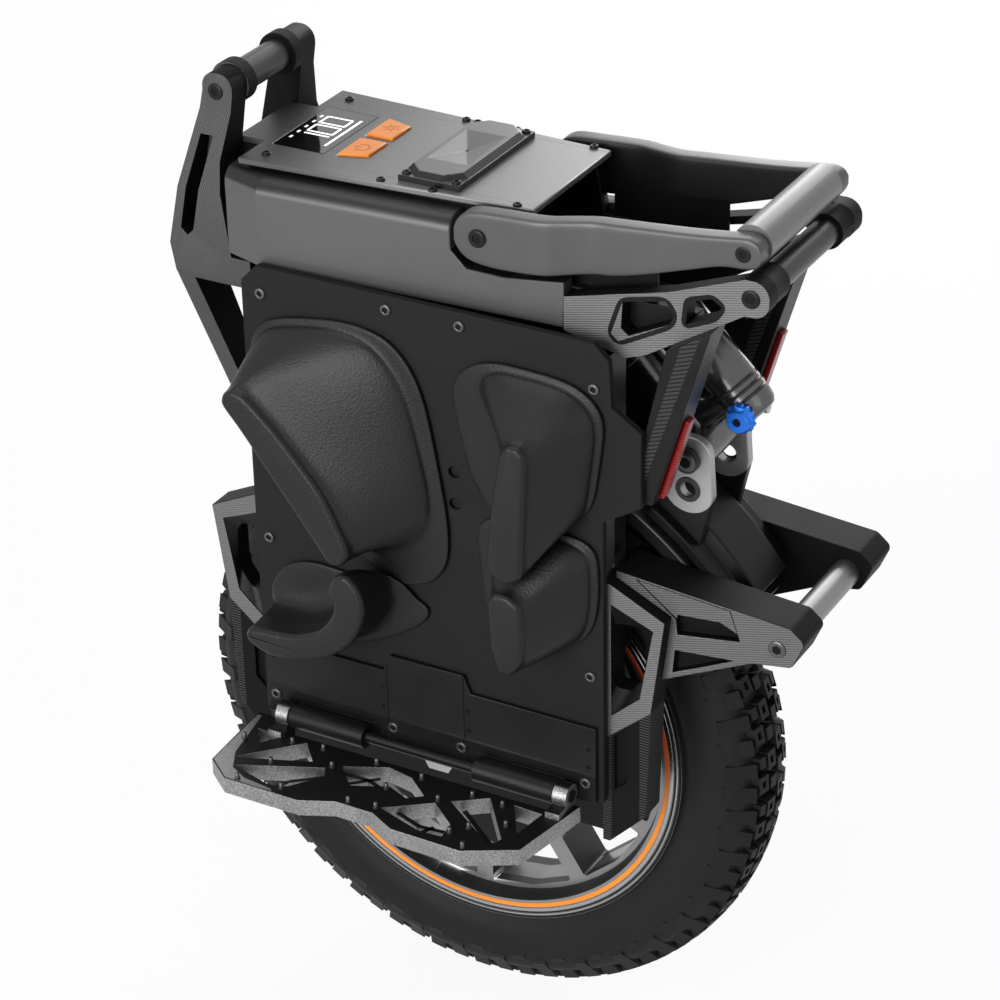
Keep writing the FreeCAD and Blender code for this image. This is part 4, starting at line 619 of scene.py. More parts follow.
TYRE_RUBBER = dull("tyre_rubber", grey(0.006), grey(0.013), 0.54, 0.12, 25.0, 0.08)
RIM_CAST = rim_paint("rim_cast")
RIM_LIP = brushed("rim_lip", grey(0.30), grey(0.44), 0.26)
RIM_DARK = dull("rim_dark", grey(0.005), grey(0.009), 0.4, 0.1, 30.0)
RIM_RING = stripe_paint("rim_ring")
MOTOR_BLACK = dull("motor_black", grey(0.005), grey(0.009), 0.42, 0.12, 30.0, 0.03)
LEG_COMB = (188.0, 148.0, 187.0)
LEG_GREY = machined("leg_grey", grey(0.15), grey(0.005), 1.9, 18.0, width=92.0, comb=LEG_COMB)
BUMPER_GREY = machined("bumper_grey", grey(0.12), grey(0.005), 1.9, 14.0, width=81.0)
UPRIGHT_GREY = machined("upright_grey", grey(0.068), grey(0.005), 1.7, -62.0)
ARM_GREY = machined("arm_grey", grey(0.16), grey(0.006), 1.8, 12.0, width=81.0)
SATIN_BLACK = dull("satin_black", grey(0.004), grey(0.009), 0.36, 0.12, 35.0, 0.02)
PILLAR_BLACK = pillar_paint("pillar_black")
HANGER_BLACK = hanger_paint("hanger_black")
BRIGHT_TUBE = brushed("bright_tube", grey(0.19), grey(0.27), 0.36, 0.9)
LINK_SILVER = link_paint("link_silver")
GUARD_BLACK = grained("guard_black", grey(0.006), grey(0.011), 0.9, 0.02, 0.28, 0.45)
PANEL_BLACK = grained("panel_black", grey(0.007), grey(0.014), 1.2, 0.12, 0.6, 0.14)
PAD_SKIN = grained("pad_skin", grey(0.006), grey(0.010), 1.7, 0.26, 0.38, 0.26)
BAND_GREY = band_paint("band_grey")
TOP_GREY = top_paint("top_grey")
BAIL_GREY = bail_paint("bail_grey")
TUBE_GREY = brushed("tube_grey", grey(0.032), grey(0.052), 0.34, 0.6)
BAIL_TUBE = brushed("bail_tube_grey", grey(0.15), grey(0.20), 0.34, 0.5)
HATCH_GREY = hatch_paint("hatch_grey")
GLASS_BLACK = mottled("glass_black", grey(0.004), grey(0.007), 0.08, 0.03, 12.0, Coat_Weight=0.5)
BUTTON_ORANGE = mottled("button_orange", (0.96, 0.27, 0.02), (1.0, 0.33, 0.04), 0.42, 0.08, 60.0, 0.02)
ICON_ORANGE = mottled("icon_orange", (0.55, 0.12, 0.01), (0.62, 0.15, 0.01), 0.45, 0.06, 80.0)
LAMP_RED = lamp_paint("lamp_red")
LENS_CLEAR = mottled("lens_clear", grey(0.60), grey(0.70), 0.08, 0.03, 40.0, Coat_Weight=0.4)
PEDAL_METAL = pedal_paint("pedal_metal")
SHOCK_GREY = mottled("shock_grey", grey(0.085), grey(0.13), 0.22, 0.08, 90.0, 0.02, 0.9)
SHOCK_DARK = mottled("shock_dark", grey(0.03), grey(0.05), 0.32, 0.08, 60.0, 0.02, 0.6)
KNOB_BLUE = mottled("knob_blue", (0.008, 0.13, 0.66), (0.02, 0.2, 0.8), 0.26, 0.08, 90.0, 0.0, 0.6)
STEEL = mottled("steel", grey(0.36), grey(0.48), 0.3, 0.1, 70.0, 0.02, 0.9)
SCREW_BLACK = dull("screw_black", grey(0.008), grey(0.015), 0.3, 0.08, 80.0)
SCREW_GREY = mottled("screw_grey", grey(0.07), grey(0.11), 0.32, 0.1, 80.0, 0.0, 0.7)
BARE_ALLOY = mottled("bare_alloy", grey(0.22), grey(0.42), 0.4, 0.12, 220.0, 0.06, 0.85)
# Painted shade: near black for the floors of screw sockets and the knob's pit, and for discs that stand for
# holes
SOCKET_SHADE = dull("socket_shade", grey(0.002), grey(0.004), 0.6, 0.1, 80.0)
CELL_WRAP = mottled("cell_wrap", (0.05, 0.12, 0.2), (0.08, 0.16, 0.26), 0.4, 0.1, 30.0)
BOARD_GREEN = mottled("board_green", (0.01, 0.08, 0.03), (0.02, 0.12, 0.05), 0.4, 0.1, 30.0)
COPPER = mottled("copper", (0.45, 0.2, 0.1), (0.55, 0.26, 0.13), 0.4, 0.1, 60.0, 0.0, 0.8)
DIGIT_WHITE = glowing("digit_white", (0.95, 0.95, 0.95), 0.9)


# Tyre: a round carcass with a knobby tread

TREAD_COUNT = 72
TREAD_DEPTH = 9
CARCASS = ((29, 180), (30.5, 188), (36, 200), (37.6, 213), (36.6, 226), (33, 236.5), (26, 242), (14, 245),
           (0, 246))
INNER_WALL = ((-29, 180), (-20, 180.5), (20, 180.5), (29, 180))


def carcass_line():
    """Half widths and radii across the tyre, from the left bead over the crown to the right one."""
    half = spline(CARCASS, 5)
    return np.vstack([half, (half * (-1, 1))[-2::-1]])


def on_wheel(angle, width, radius):
    """A point at an angle round the axle, a half width and a radius."""
    x, z = radius * np.sin(angle), AXLE + radius * np.cos(angle)
    return np.stack([x, width + 0 * x, z], axis=-1)


def tread_block(skin, angle, length, foot, top, dimple):
    """Tread blocks: foot and top are ((width, radius) inner, (width, radius) outer); the top is drawn in,
    and its middle may be sunk by a square dimple. Lengths become angles at one mean radius."""
    mean_radius, drawn_in, dimple_share = 250.0, 0.86, 0.42
    rings = []
    for (inner, outer), share in ((foot, 1.0), (top, drawn_in)):
        half = length * share / 2 / mean_radius
        corners = []
        for (width, radius), side in ((inner, -1), (outer, -1), (outer, 1), (inner, 1)):
            corners.append(on_wheel(angle + side * half, width, radius))
        rings.append(np.stack(corners, axis=1))
    base, crown = rings
    if not dimple:
        skin.blocks(np.concatenate([base, crown], axis=1))
        return
    middle = crown.mean(axis=1, keepdims=True)
    lip = middle + (crown - middle) * dimple_share
    away = middle - (0, 0, AXLE)
    away[..., 1] = 0
    sunk = lip - away / np.linalg.norm(away, axis=-1, keepdims=True) * dimple
    points = np.stack([base, crown, lip, sunk], axis=1).reshape(-1, 16, 3)
    walls = []
    for low in (0, 4, 8):
        for k, after in ((0, 1), (1, 2), (2, 3), (3, 0)):
            walls.append([low + k, low + after, low + 4 + after, low + 4 + k])
    walls.append([12, 13, 14, 15])
    walls.append([3, 2, 1, 0])
    first = np.arange(len(points))[:, None, None] * 16
    skin.add(points, (first + np.array(walls)[None]).reshape(-1, 4))


def make_tyre():
    """The carcass line and the inner wall turned about the axle, with rows of blocks at one pitch."""
    around = np.linspace(0, 2 * np.pi, 160, endpoint=False)[None, :]
    skin = Skin()
    for line in (carcass_line(), np.array(INNER_WALL)):
        skin.grid(on_wheel(around, line[:, 0, None], line[:, 1, None]), wrap_v=True)
    pitch = 2 * np.pi / TREAD_COUNT
    spots = np.arange(TREAD_COUNT) * pitch

    def crown(width, depth):
        """A point at a half width and a depth below the tread's top, which falls as the width squared."""
        fall = 0.0064
        return (width, AXLE - fall * width ** 2 - depth)

    for side in (1, -1):
        lag = 0.5 * pitch if side < 0 else 0.0
        even, odd = spots[::2] + lag, spots[1::2] + lag

        def row(angle, length, inner, outer, dimple):
            """Blocks between two half widths."""
            foot = (crown(side * inner, TREAD_DEPTH), crown(side * outer, TREAD_DEPTH))
            top = (crown(side * (inner + 0.6), 0.2), crown(side * (outer - 0.6), 0.2))
            tread_block(skin, angle, length, foot, top, dimple)

        def shoulder(angle, length, inner, low):
            """Blocks from a half width over the shoulder, down to a radius on the side wall."""
            foot = (crown(side * inner, TREAD_DEPTH), (side * 35.4, low - 4))
            top = (crown(side * (inner + 0.6), 0.4), (side * 37.9, low))
            tread_block(skin, angle, length, foot, top, 0)

        row(even + 0.3 * pitch, 17.5, 12.8, 24.2, 3)
        row(odd + 0.1 * pitch, 17.5, 1.4, 13.4, 3)
        row(even + 0.15 * pitch, 12.0, 1.2, 10.6, 0)
        row(odd + 0.2 * pitch, 11.0, 15.4, 22.6, 0)
        shoulder(even, 16.5, 26.4, 224)
        shoulder(odd, 15.5, 25.2, 229)
    tyre = skin.piece("tyre_tread", "wheel", "tyre", TYRE_RUBBER, 28)
    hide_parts("tyre")


# Bands on the rim's face: finish, inner and outer radius, height above the face
RIM_FACE = 33.0
RIM_BANDS = {
    "rim_ring": (RIM_RING, 172.6, 176.4, 0.6),
    "rim_bead": (RIM_LIP, 177.0, 180.4, 0.8),
    "rim_groove": (RIM_DARK, 180.6, 182.2, 0.2),
    "rim_edge": (RIM_LIP, 182.4, 184.2, 0.8),
    "rim_seat": (RIM_DARK, 184.4, 186.8, 0.2),
}


def make_rim_trim():
    """A painted ring between bright beads and dark grooves: low domed profiles turned on both faces."""
    ease = 0.4
    for label, side in SIDES:
        for name, (paint, low, high, rise) in RIM_BANDS.items():
            foot, brow, top = (side * (RIM_FACE + rise * share) for share in (0.0, 0.8, 1.0))
            profile = [(foot, low), (brow, low + ease), (top, (low + high) / 2),
                       (brow, high - ease), (foot, high)]
            skin = Skin().grid(turned(profile, 180, (0, 0, AXLE)), wrap_u=True, wrap_v=True)
            skin.piece(name + "_" + label, "wheel", "rim_alloy", paint, 40)


# Knee pads: the flange's outline and the face's, each in four sides (length, height above the axle),
# and a slope for each side; a slope is pairs of (share of the height, share of the way from flange to face)

PADS = {
    "front_upper_pad": (
        [[(150, 345), (132, 363), (63, 375)], [(19, 369), (-4, 337), (-16, 271), (-26, 210)],
         [(-23, 187), (-7, 166)], [(28, 156), (62, 176), (148, 300)]],
        [[(146, 306), (144, 315), (136, 321)], [(124, 318), (99, 296), (59, 251)],
         [(36, 203), (45, 190), (56, 189)], [(73, 213), (133, 292)]],
        ("even", "even", "steep", "steep")),
    "toe_pad": (
        [[(140, 128), (128, 148), (105, 158)], [(75, 157), (1, 149), (-8, 145)],
         [(-9, 135), (32, 106), (69, 90), (112, 90)], [(134, 100), (140, 112)]],
        [[(133, 113), (92, 116), (66, 128), (54, 147)], [(53, 156), (58, 166), (55, 177), (45, 184)],
         [(39, 183), (28, 174), (24, 157), (30, 136), (49, 111), (82, 95), (119, 90)],
         [(134, 100), (137, 106)]],
        ("steep", "tip", "steep", "steep")),
    "rear_upper_pad": (
        [[(-32, 352), (-56, 370), (-132, 367)], [(-152, 354), (-157, 340), (-147, 270)],
         [(-140, 256), (-60, 250)], [(-46, 262), (-29, 335)]],
        [[(-94, 322), (-100, 330), (-110, 330)], [(-116, 323), (-115, 298), (-112, 246)],
         [(-111, 222), (-100, 213), (-87, 216)], [(-81, 227), (-85, 270)]],
        ("even", "even", "even", "steep")),
    "rear_lower_pad": (
        [[(-50, 236), (-70, 241), (-130, 240)], [(-150, 236), (-151, 190), (-146, 160)],
         [(-122, 138), (-74, 136)], [(-56, 150), (-48, 220)]],
        [[(-81, 195), (-85, 203), (-98, 204)], [(-110, 197), (-112, 171), (-109, 147)],
         [(-98, 132), (-88, 138)], [(-83, 154), (-82, 175)]],
        ("even", "even", "even", "steep")),
}
SLOPES = {
    "even": ((0.03, 0.12), (0.12, 0.16), (0.3, 0.3), (0.6, 0.6), (0.88, 0.92)),
    "steep": ((0.03, 0.55), (0.12, 0.8), (0.3, 0.92), (0.6, 0.97), (0.88, 1.0)),
    "tip": ((0.03, 0.35), (0.12, 0.5), (0.3, 0.7), (0.6, 0.9), (0.88, 1.0)),
}
PANEL_FACE = 100.0
PAD_POINTS = 24


def eased(ring, sweeps):
    """Each value of a ring averaged with its neighbours, in weights 1, 2 and 1, a number of times."""
    for _ in range(sweeps):
        ring = (np.roll(ring, 1, 0) + 2 * ring + np.roll(ring, -1, 0)) / 4
    return ring


def spread(line, count):
    """Points at even steps of length along a line of straight runs, without its end."""
    run = np.concatenate([[0], np.cumsum(np.linalg.norm(np.diff(line, axis=0), axis=1))])
    want = np.linspace(0, run[-1], count, endpoint=False)
    return np.stack([np.interp(want, run, line[:, k]) for k in (0, 1)], axis=1)


def ring_of(sides, sweeps):
    """Four sides of an outline, each spread evenly over the same count of points, then eased."""
    parts = []
    for points, following in zip(sides, sides[1:] + sides[:1]):
        parts.append(spread(np.array(points + following[:1], float), PAD_POINTS))
    return eased(np.concatenate(parts), sweeps)


def inset(ring, depth):
    """The ring moved inwards: each point goes along the normal of its neighbours' chord."""
    chord = np.roll(ring, -1, 0) - np.roll(ring, 1, 0)
    chord /= np.linalg.norm(chord, axis=1, keepdims=True)
    return ring + depth * np.stack([-chord[:, 1], chord[:, 0]], axis=1)


def make_pad(name, flange, face, kinds, side):
    """A pad as rings stacked out of the panel: each level blends the flange's ring into the face's ring by
    a share of its own for each side, and the face's edge is rounded over a quarter circle."""
    flange_sweeps, face_sweeps, share_sweeps = 14, 5, 24
    low, high = ring_of(flange, flange_sweeps), ring_of(face, face_sweeps)
    tall, soft, lip = 50.0, 5.0, 4.0
    rise = tall - soft - lip
    stack = [(0.0, inset(low, 1.0)), (lip - 1.2, low), (lip - 0.3, inset(low, 0.4)), (lip, inset(low, 1.4))]
    for step in range(5):
        up = SLOPES["even"][step][0]
        shares = np.repeat([SLOPES[kind][step][1] for kind in kinds], PAD_POINTS)
        share = eased(shares, share_sweeps)[:, None]
        stack.append((lip + rise * up, low + (high - low) * share))
    stack.append((tall - soft, high))
    bend = np.linspace(0, 1, 6)[1:] * np.pi / 2
    rounds = [(tall - soft + soft * math.sin(a), inset(high, soft * 0.8 * (1 - math.cos(a)))) for a in bend]
    table, edge = (np.array([np.concatenate([[h], r.ravel()]) for h, r in rows]) for rows in (stack, rounds))
    fine = np.vstack([table[:4], spline(table[3:], 4)[1:], edge])
    rings = fine[:, 1:].reshape(len(fine), -1, 2)
    out = side * (PANEL_FACE + np.repeat(fine[:, :1], rings.shape[1], 1))
    points = np.stack([rings[..., 0], out, AXLE + rings[..., 1]], -1)
    skin = Skin().grid(points, wrap_v=True).cap(points[0]).cap(points[-1])
    return skin.piece(name, "frame", "pad_foam", PAD_SKIN, 50)


def make_pads():
    """Each pad on both sides."""
    for label, (flange, face, kinds) in PADS.items():
        for word, side in SIDES:
            pad = make_pad(label + "_skin_" + word, flange, face, kinds, side)
            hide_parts(label + "_" + word)


# Bail handle: two arms swept from the pivots to the grip

# Stations: length, bottom, top, distance of the arm's middle from the middle plane
BAIL_STATIONS = np.array([
    (-25.5, 704, 716, 78), (-27.5, 699, 721, 78), (-32, 693.5, 726, 78), (-39, 690, 729, 78),
    (-50, 688.3, 730.3, 78), (-64, 687.8, 731, 78), (-95, 689.8, 732.5, 78), (-113, 692, 733.8, 73),
    (-132, 694.6, 735.2, 68), (-150, 697, 736.6, 68), (-175, 703.5, 738.6, 68), (-205, 713, 741, 68),
    (-232, 721.5, 744, 68), (-250, 723, 746.5, 68), (-257, 724.2, 745.6, 68), (-261, 726.5, 743, 68),
    (-263.2, 731, 739, 68)])
BAIL_HALF_WIDTH = 7.9


def make_bail():
    """Each arm's section is a rounded box, carried along its stations."""
    length, bottom, top, beside = spline(BAIL_STATIONS, 4).T[:, :, None]
    angle = np.linspace(0, 2 * np.pi, 48, endpoint=False) + np.pi / 48
    across, up = rounded_box(angle, 0.22)
    skin = Skin()
    for side in (1, -1):
        height = (bottom + top) / 2 + (top - bottom) / 2 * up
        points = np.stack([length + 0 * angle, side * (beside + BAIL_HALF_WIDTH * across), height], axis=-1)
        skin.grid(points, wrap_v=True).cap(points[0]).cap(points[-1])
    arms = skin.piece("bail_arm_pair", "bail", "handle_grey", BAIL_GREY, 40)
    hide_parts("bail_arms")


# Screws: a domed head with a hexagonal socket

def screw(skin, floor, centre, way, radius, height):
    """A button head: rows of (height, radius, share of hexagon), round outside and hexagonal in the
    socket, turned about its axis; the socket's floor, a thin disc, goes into a skin of its own."""
    axis = np.asarray(way, float)
    first = np.array([1.0, 0, 0]) if abs(axis[0]) < 0.5 else np.array([0, 0, 1.0])
    second = np.cross(axis, first)
    angle = np.linspace(0, 2 * np.pi, 24, endpoint=False)
    hexagon = np.cos(np.pi / 6) / np.cos((angle + np.pi / 6) % (np.pi / 3) - np.pi / 6)
    socket_share = 0.56
    hole = radius * socket_share
    rows = np.array([
        (0.0, radius, 0), (height * 0.6, radius, 0), (height * 0.9, radius * 0.9, 0),
        (height, radius * 0.76, 0), (height, hole * 1.06, 0.6), (height * 0.94, hole, 1),
        (height * 0.5, hole, 1), (height * 0.5, 0.0, 1)])
    reach = rows[:, 1, None] * (1 + rows[:, 2, None] * (hexagon[None] - 1))
    points = np.asarray(centre, float) + rows[:, 0, None, None] * axis
    points = points + (reach * np.cos(angle))[..., None] * first + (reach * np.sin(angle))[..., None] * second
    skin.grid(points, wrap_v=True).cap(points[0])
    # The socket's floor is a thin disc; its skin gets a near-black finish, painted shade in the socket
    lift, shrink = 0.05 * axis, 0.001
    middle = points[-1]
    edge = points[-2] * (1 - shrink) + middle * shrink
    floor.grid(np.stack([middle - lift, edge - lift, edge + lift, middle + lift]), wrap_v=True)


def washer(skin, centre, side, inner, outer, height):
    """A flat ring standing off a side face."""
    rows = [(0, inner), (height, inner + 0.2), (height, outer - 0.3), (height - 0.3, outer), (0, outer)]
    rows = [(side * a, r) for a, r in rows]
    skin.grid(turned(rows + rows[:1], 36, centre), wrap_v=True)


# Spots as (length, height above the axle) on the sides and (length, half width) on top
PANEL_SCREWS = ((136, 380), (26, 390), (-36, 390), (-146, 364), (141, 168), (-142, 120))
TOP_SCREWS = ((150, 60), (48, 64), (4, 64), (-64, 60))
HATCH_SCREWS = ((32, 53.5), (-10, 53.5))
HANGER_SCREWS = ((31, 26), (-31, 26), (140, 26), (-140, 26))
HANGER_HOLES = ((40, 60), (40, 42), (-37, 60), (-37, 42), (-142, 40), (-142, 56), (142, 60))
HANGER_FACE, KNUCKLE_FACE = PANEL_FACE + 4, PANEL_FACE + 5
HATCH_SEAT = 733.6
SIDE_HEAD, TOP_HEAD = (4.5, 2.0), (3.4, 2.0)

# Screws at the tubes' ends, the bail's pivots and the link bolt: the spot on the left side, then the head's
# radius and height
END_SCREWS = {
    "bail_pivot": ((-45, 86.2, 710), 7.0, 1.8),
    "bail_grip": ((-250, 75.8, 735), 6.0, 0.8),
    "front_handle": ((193, 59, 771), 6.5, 1.4),
    "rear_bar": ((-259, 81, 705), 7.0, 1.4),
    "bumper_bar": ((-286, 81, 428), 7.0, 1.4),
    "link_bolt": ((EYE[0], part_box("link_bolt")[1][1] / MM, EYE[2]), 8.5, 1.4),
}


def end_screw(skin, floor, place, side):
    """One screw of the table on one side, its head turned outwards."""
    (x, y, z), radius, height = END_SCREWS[place]
    screw(skin, floor, (x, side * y, z), (0, side, 0), radius, height)


def make_screws():
    """Heads at their spots, on both sides; a hole's floor is a thin disc, near black for painted shade."""
    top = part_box("top_plate")[1][2] / MM
    light, dark, sockets, holes, bail, ends = Skin(), Skin(), Skin(), Skin(), Skin(), Skin()
    bail_sockets, fork, fork_sockets = Skin(), Skin(), Skin()
    hole_radius, hole_lift = 2.2, 0.08
    for side in (1, -1):
        out, lift = (0, side, 0), side * hole_lift
        for spots, face in ((PANEL_SCREWS, PANEL_FACE), (HANGER_SCREWS, KNUCKLE_FACE)):
            for x, z in spots:
                screw(light, sockets, (x, side * face, AXLE + z), out, *SIDE_HEAD)
        # Each hanger hole is a near-black disc on the face: painted shade standing for the hole
        disc = [(0, 0), (0, hole_radius), (lift, hole_radius), (lift, 0)]
        for x, z in HANGER_HOLES:
            holes.grid(turned(disc, 16, (x, side * HANGER_FACE, AXLE + z)), wrap_v=True)
        for spots, seat in ((TOP_SCREWS, top), (HATCH_SCREWS, HATCH_SEAT)):
            for x, y in spots:
                screw(dark, sockets, (x, side * y, seat), (0, 0, 1), *TOP_HEAD)
        end_screw(dark, sockets, "bail_pivot", side)
        end_screw(bail, bail_sockets, "bail_grip", side)
        for place in ("front_handle", "rear_bar"):
            end_screw(ends, sockets, place, side)
        for place in ("bumper_bar", "link_bolt"):
            end_screw(fork, fork_sockets, place, side)
    light.piece("panel_screws", "frame", "steel", SCREW_GREY, 40)
    heads = dark.piece("top_screws", "frame", "steel", SCREW_BLACK, 40)
    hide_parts("fasteners")
    ends.piece("tube_screws", "frame", "steel", SCREW_BLACK, 40)
    sockets.piece("screw_sockets", "frame", "steel", SOCKET_SHADE, 40)
    holes.piece("hanger_holes", "frame", "steel", SOCKET_SHADE, 40)
    bail.piece("bail_end_screws", "bail", "steel", SCREW_BLACK, 40)
    bail_sockets.piece("bail_screw_sockets", "bail", "steel", SOCKET_SHADE, 40)
    fork.piece("bumper_screws", "fork", "steel", SCREW_GREY, 40)
    fork_sockets.piece("bumper_sockets", "fork", "steel", SOCKET_SHADE, 40)


# Hatch: a seat with a raised middle whose top is folded to a hole

def make_hatch():
    """Height over a level grid: a seat, then a bevelled octagon above it; the octagon's middle is pressed
    into a shallow pyramid, which leaves two crossed folds."""
    lo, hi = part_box("hatch_cover")
    x0, x1, half, foot, top = lo[0] / MM, hi[0] / MM, hi[1] / MM, lo[2] / MM, hi[2] / MM
    middle, margin = (x0 + x1) / 2, 0.3
    seat_wide, bevel, corner_cut = 1.0, 4.0, 15.0
    fold_long, fold_wide, fold_deep = 17.0, 30.0, 3.2
    rows, columns = 66, 132
    x = np.linspace(x0 + margin, x1 - margin, rows)[:, None] + np.zeros((1, columns))
    y = np.linspace(-half + margin, half - margin, columns)[None, :] + np.zeros((rows, 1))
    ahead = (x1 - x0) / 2 - np.abs(x - middle)
    across = half - np.abs(y)
    corner = (ahead + across - corner_cut) / math.sqrt(2)
    edge = np.minimum(np.minimum(ahead, across) - seat_wide, corner)
    rise = np.clip(edge / bevel, 0, 1)
    fold = np.maximum(np.abs(x - middle) / fold_long, np.abs(y) / fold_wide)
    height = HATCH_SEAT + rise * (top - HATCH_SEAT) - fold_deep * np.clip(1 - fold, 0, 1)
    points = np.stack([x, y, height], axis=-1)
    skin = Skin().grid(points)
    rim = np.vstack([points[0, :-1], points[:-1, -1], points[-1, :0:-1], points[:0:-1, 0]])
    base = rim * (1, 1, 0) + (0, 0, foot)
    skin.grid(np.stack([rim, base]), wrap_v=True).cap(base)
    cover = skin.piece("hatch_folded", "frame", "handle_grey", HATCH_GREY, 14)
    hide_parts("hatch_cover")
    # The hole in the folds' middle is a near-black disc: painted shade in the hole
    disc = [(0, 0), (0, 2.6), (0.3, 2.4), (0.3, 0)]
    spot = (middle, 0, top - fold_deep - 0.1)
    hole = Skin().grid(turned(disc, 16, spot, (0, 0, 1), (1, 0, 0)), wrap_v=True)
    hole.piece("hatch_hole", "frame", "handle_grey", SOCKET_SHADE, 40)


# Shock: turned pieces along its own slant, from the lower eye; profiles of (length, radius)

DAMPER = ((10, 0), (10, 14), (14, 16), (30, 16), (31, 15.2), (33, 15.2), (34, 16), (120, 16), (121.5, 14.5),
          (121.5, 0))
TANK_SHELL = ((-7.5, 0), (-7.5, 11), (-6, 15), (-2, 17.6), (4, 18.6), (7, 18.9), (7.4, 18.2), (9.4, 18.2),
              (9.8, 18.9), (13, 18.9), (13.4, 18.2), (15.4, 18.2), (15.8, 18.9), (19, 18.9), (19.4, 18.2),
              (21.4, 18.2), (21.8, 18.9), (98, 18.9), (102, 17.5), (104, 14), (104, 0))
EYE_SLEEVE = ((-27.6, 6.2), (-27.6, 13), (-26.6, 14), (26.6, 14), (27.6, 13), (27.6, 6.2), (-27.6, 6.2))
TANK_GROOVES = (8.4, 14.4, 20.4)
VALVE = ((0, 0), (0, 4.5), (6.5, 4.5), (7.5, 3.5), (7.5, 0))


def make_shock():
    """Damper, tank and eye are turned; the bridge is a rounded box from damper to tank, narrower midway."""
    body = Skin()
    body.grid(turned(DAMPER, 48, EYE, ALONG), wrap_v=True)
    body.grid(turned(TANK_SHELL, 56, TANK, ALONG), wrap_v=True)
    body.grid(turned(EYE_SLEEVE, 40, EYE), wrap_v=True)
    wide, deep = rounded_box(np.linspace(0, 2 * np.pi, 32, endpoint=False), 0.55)
    stations, length, lift, half_wide, waist, deep_share = 9, 52, 17, 13.5, 2.5, 0.9
    way = np.linspace(0, length, stations)[:, None, None]
    half = (half_wide - waist * np.sin(np.linspace(0, np.pi, stations)))[:, None, None]
    section = wide[None, :, None] * np.array((0, 1.0, 0)) + deep_share * deep[None, :, None] * ALONG
    bridge = EYE + lift * ALONG + way * OFF + half * section
    body.grid(bridge, wrap_v=True).cap(bridge[0]).cap(bridge[-1])
    shell = body.piece("shock_damper", "shock_lower", "shock_grey", SHOCK_GREY, 35)
    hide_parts("shock_body")
    rings, low, high, half_ring = Skin(), 18.25, 18.6, 0.9
    for spot in TANK_GROOVES:
        profile = [(spot - half_ring, low), (spot, high), (spot + half_ring, low)]
        rings.grid(turned(profile, 48, TANK, ALONG), wrap_u=True, wrap_v=True)
    rings.piece("shock_rings", "shock_lower", "shock_grey", SHOCK_DARK, 35)
    tank_foot, valve_off = 7.5, 10
    spot = TANK - tank_foot * ALONG + valve_off * OFF
    valve = Skin().grid(turned(VALVE, 20, spot, -OFF + ALONG), wrap_v=True)
    valve.piece("shock_valve", "shock_lower", "shock_grey", STEEL, 35)


# The adjuster's rows: height, radius, share of the flutes
KNOB_START, KNOB_TEETH = 19.3, 14
KNOB_ROWS = ((0.2, 9.0, 0), (0.4, 11.0, 1), (4.0, 11.2, 1), (5.0, 10.4, 0), (6.5, 9.2, 0), (9.6, 8.8, 0),
             (10.4, 8.0, 0), (10.4, 3.4, 0), (8.4, 3.2, 0), (8.4, 0, 0))
KNOB_FLOOR = ((8.3, 0), (8.3, 3.1), (8.6, 3.1), (8.6, 0))


def make_knob():
    """Rows turned about an axis across the object; a clipped cosine of the angle cuts the flutes."""
    angle = np.linspace(0, 2 * np.pi, KNOB_TEETH * 8, endpoint=False)
    depth_share, steepness = 0.07, 1.6
    flute = -depth_share * np.clip(np.cos(angle * KNOB_TEETH) * steepness, -1, 1)
    height, radius, share = np.array(KNOB_ROWS).T[:, :, None]
    reach = radius * (1 + share * flute[None])
    x, z = TANK[0] + reach * np.cos(angle), TANK[2] + reach * np.sin(angle)
    points = np.stack([x, KNOB_START + height + 0 * reach, z], axis=-1)
    wheel = Skin().grid(points, wrap_v=True).cap(points[0])
    knob = wheel.piece("knob_fluted", "knob", "knob_blue", KNOB_BLUE, 35)
    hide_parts("shock_knob")
    # The pit's floor is a near-black disc: painted shade in the pit
    pit = Skin().grid(turned(KNOB_FLOOR, 20, TANK + (0, KNOB_START, 0)), wrap_v=True)
    pit.piece("knob_pit", "knob", "knob_blue", SOCKET_SHADE, 35)


def make_bushes():
    """A flat ring round each bore of the link plates, on their outer faces."""
    bush, face, bore_step = Skin(), 36, np.array((0, 0, 25.5))
    for side in (1, -1):
        for spot in (EYE, EYE - bore_step):
            washer(bush, spot + (0, side * face, 0), side, 6.3, 10.2, 0.9)
    bush.piece("link_bushes", "fork", "steel", SHOCK_DARK, 35)


def make_well():
    """Two thin black walls in the well behind the top plate, boxes from the housing to the rear arms: the
    well's dark equipment and painted shade.
    """
    skin = Skin()
    front, back, inner, outer = -82, -177, 58.3, 59.7
    for side in (1, -1):
        y0, y1 = side * inner, side * outer
        foot, head = ([(front, y0, ahead), (back, y0, behind), (back, y1, behind), (front, y1, ahead)]
                      for ahead, behind in ((640, 660), (702, 708)))
        skin.blocks(np.array([foot + head], float))
    # Black walls: partly the well's dark equipment, partly painted shade in the well
    skin.piece("well_dark_and_shade_walls", "frame", "case_black", SATIN_BLACK, 35)


def flat_bar(skin, start, end, wide, z, high):
    """A flat bar between two points of a level plane, with square ends."""
    start, end = np.array(start, float), np.array(end, float)
    run = (end - start) / np.linalg.norm(end - start)
    off = np.array([-run[1], run[0]]) * wide / 2
    foot = [np.append(p, z) for p in (start - off, end - off, end + off, start + off)]
    skin.blocks(np.array([foot + [p + (0, 0, high) for p in foot]]))


# Pedal studs, ribs and tip: spots on the deck as (length, half width)

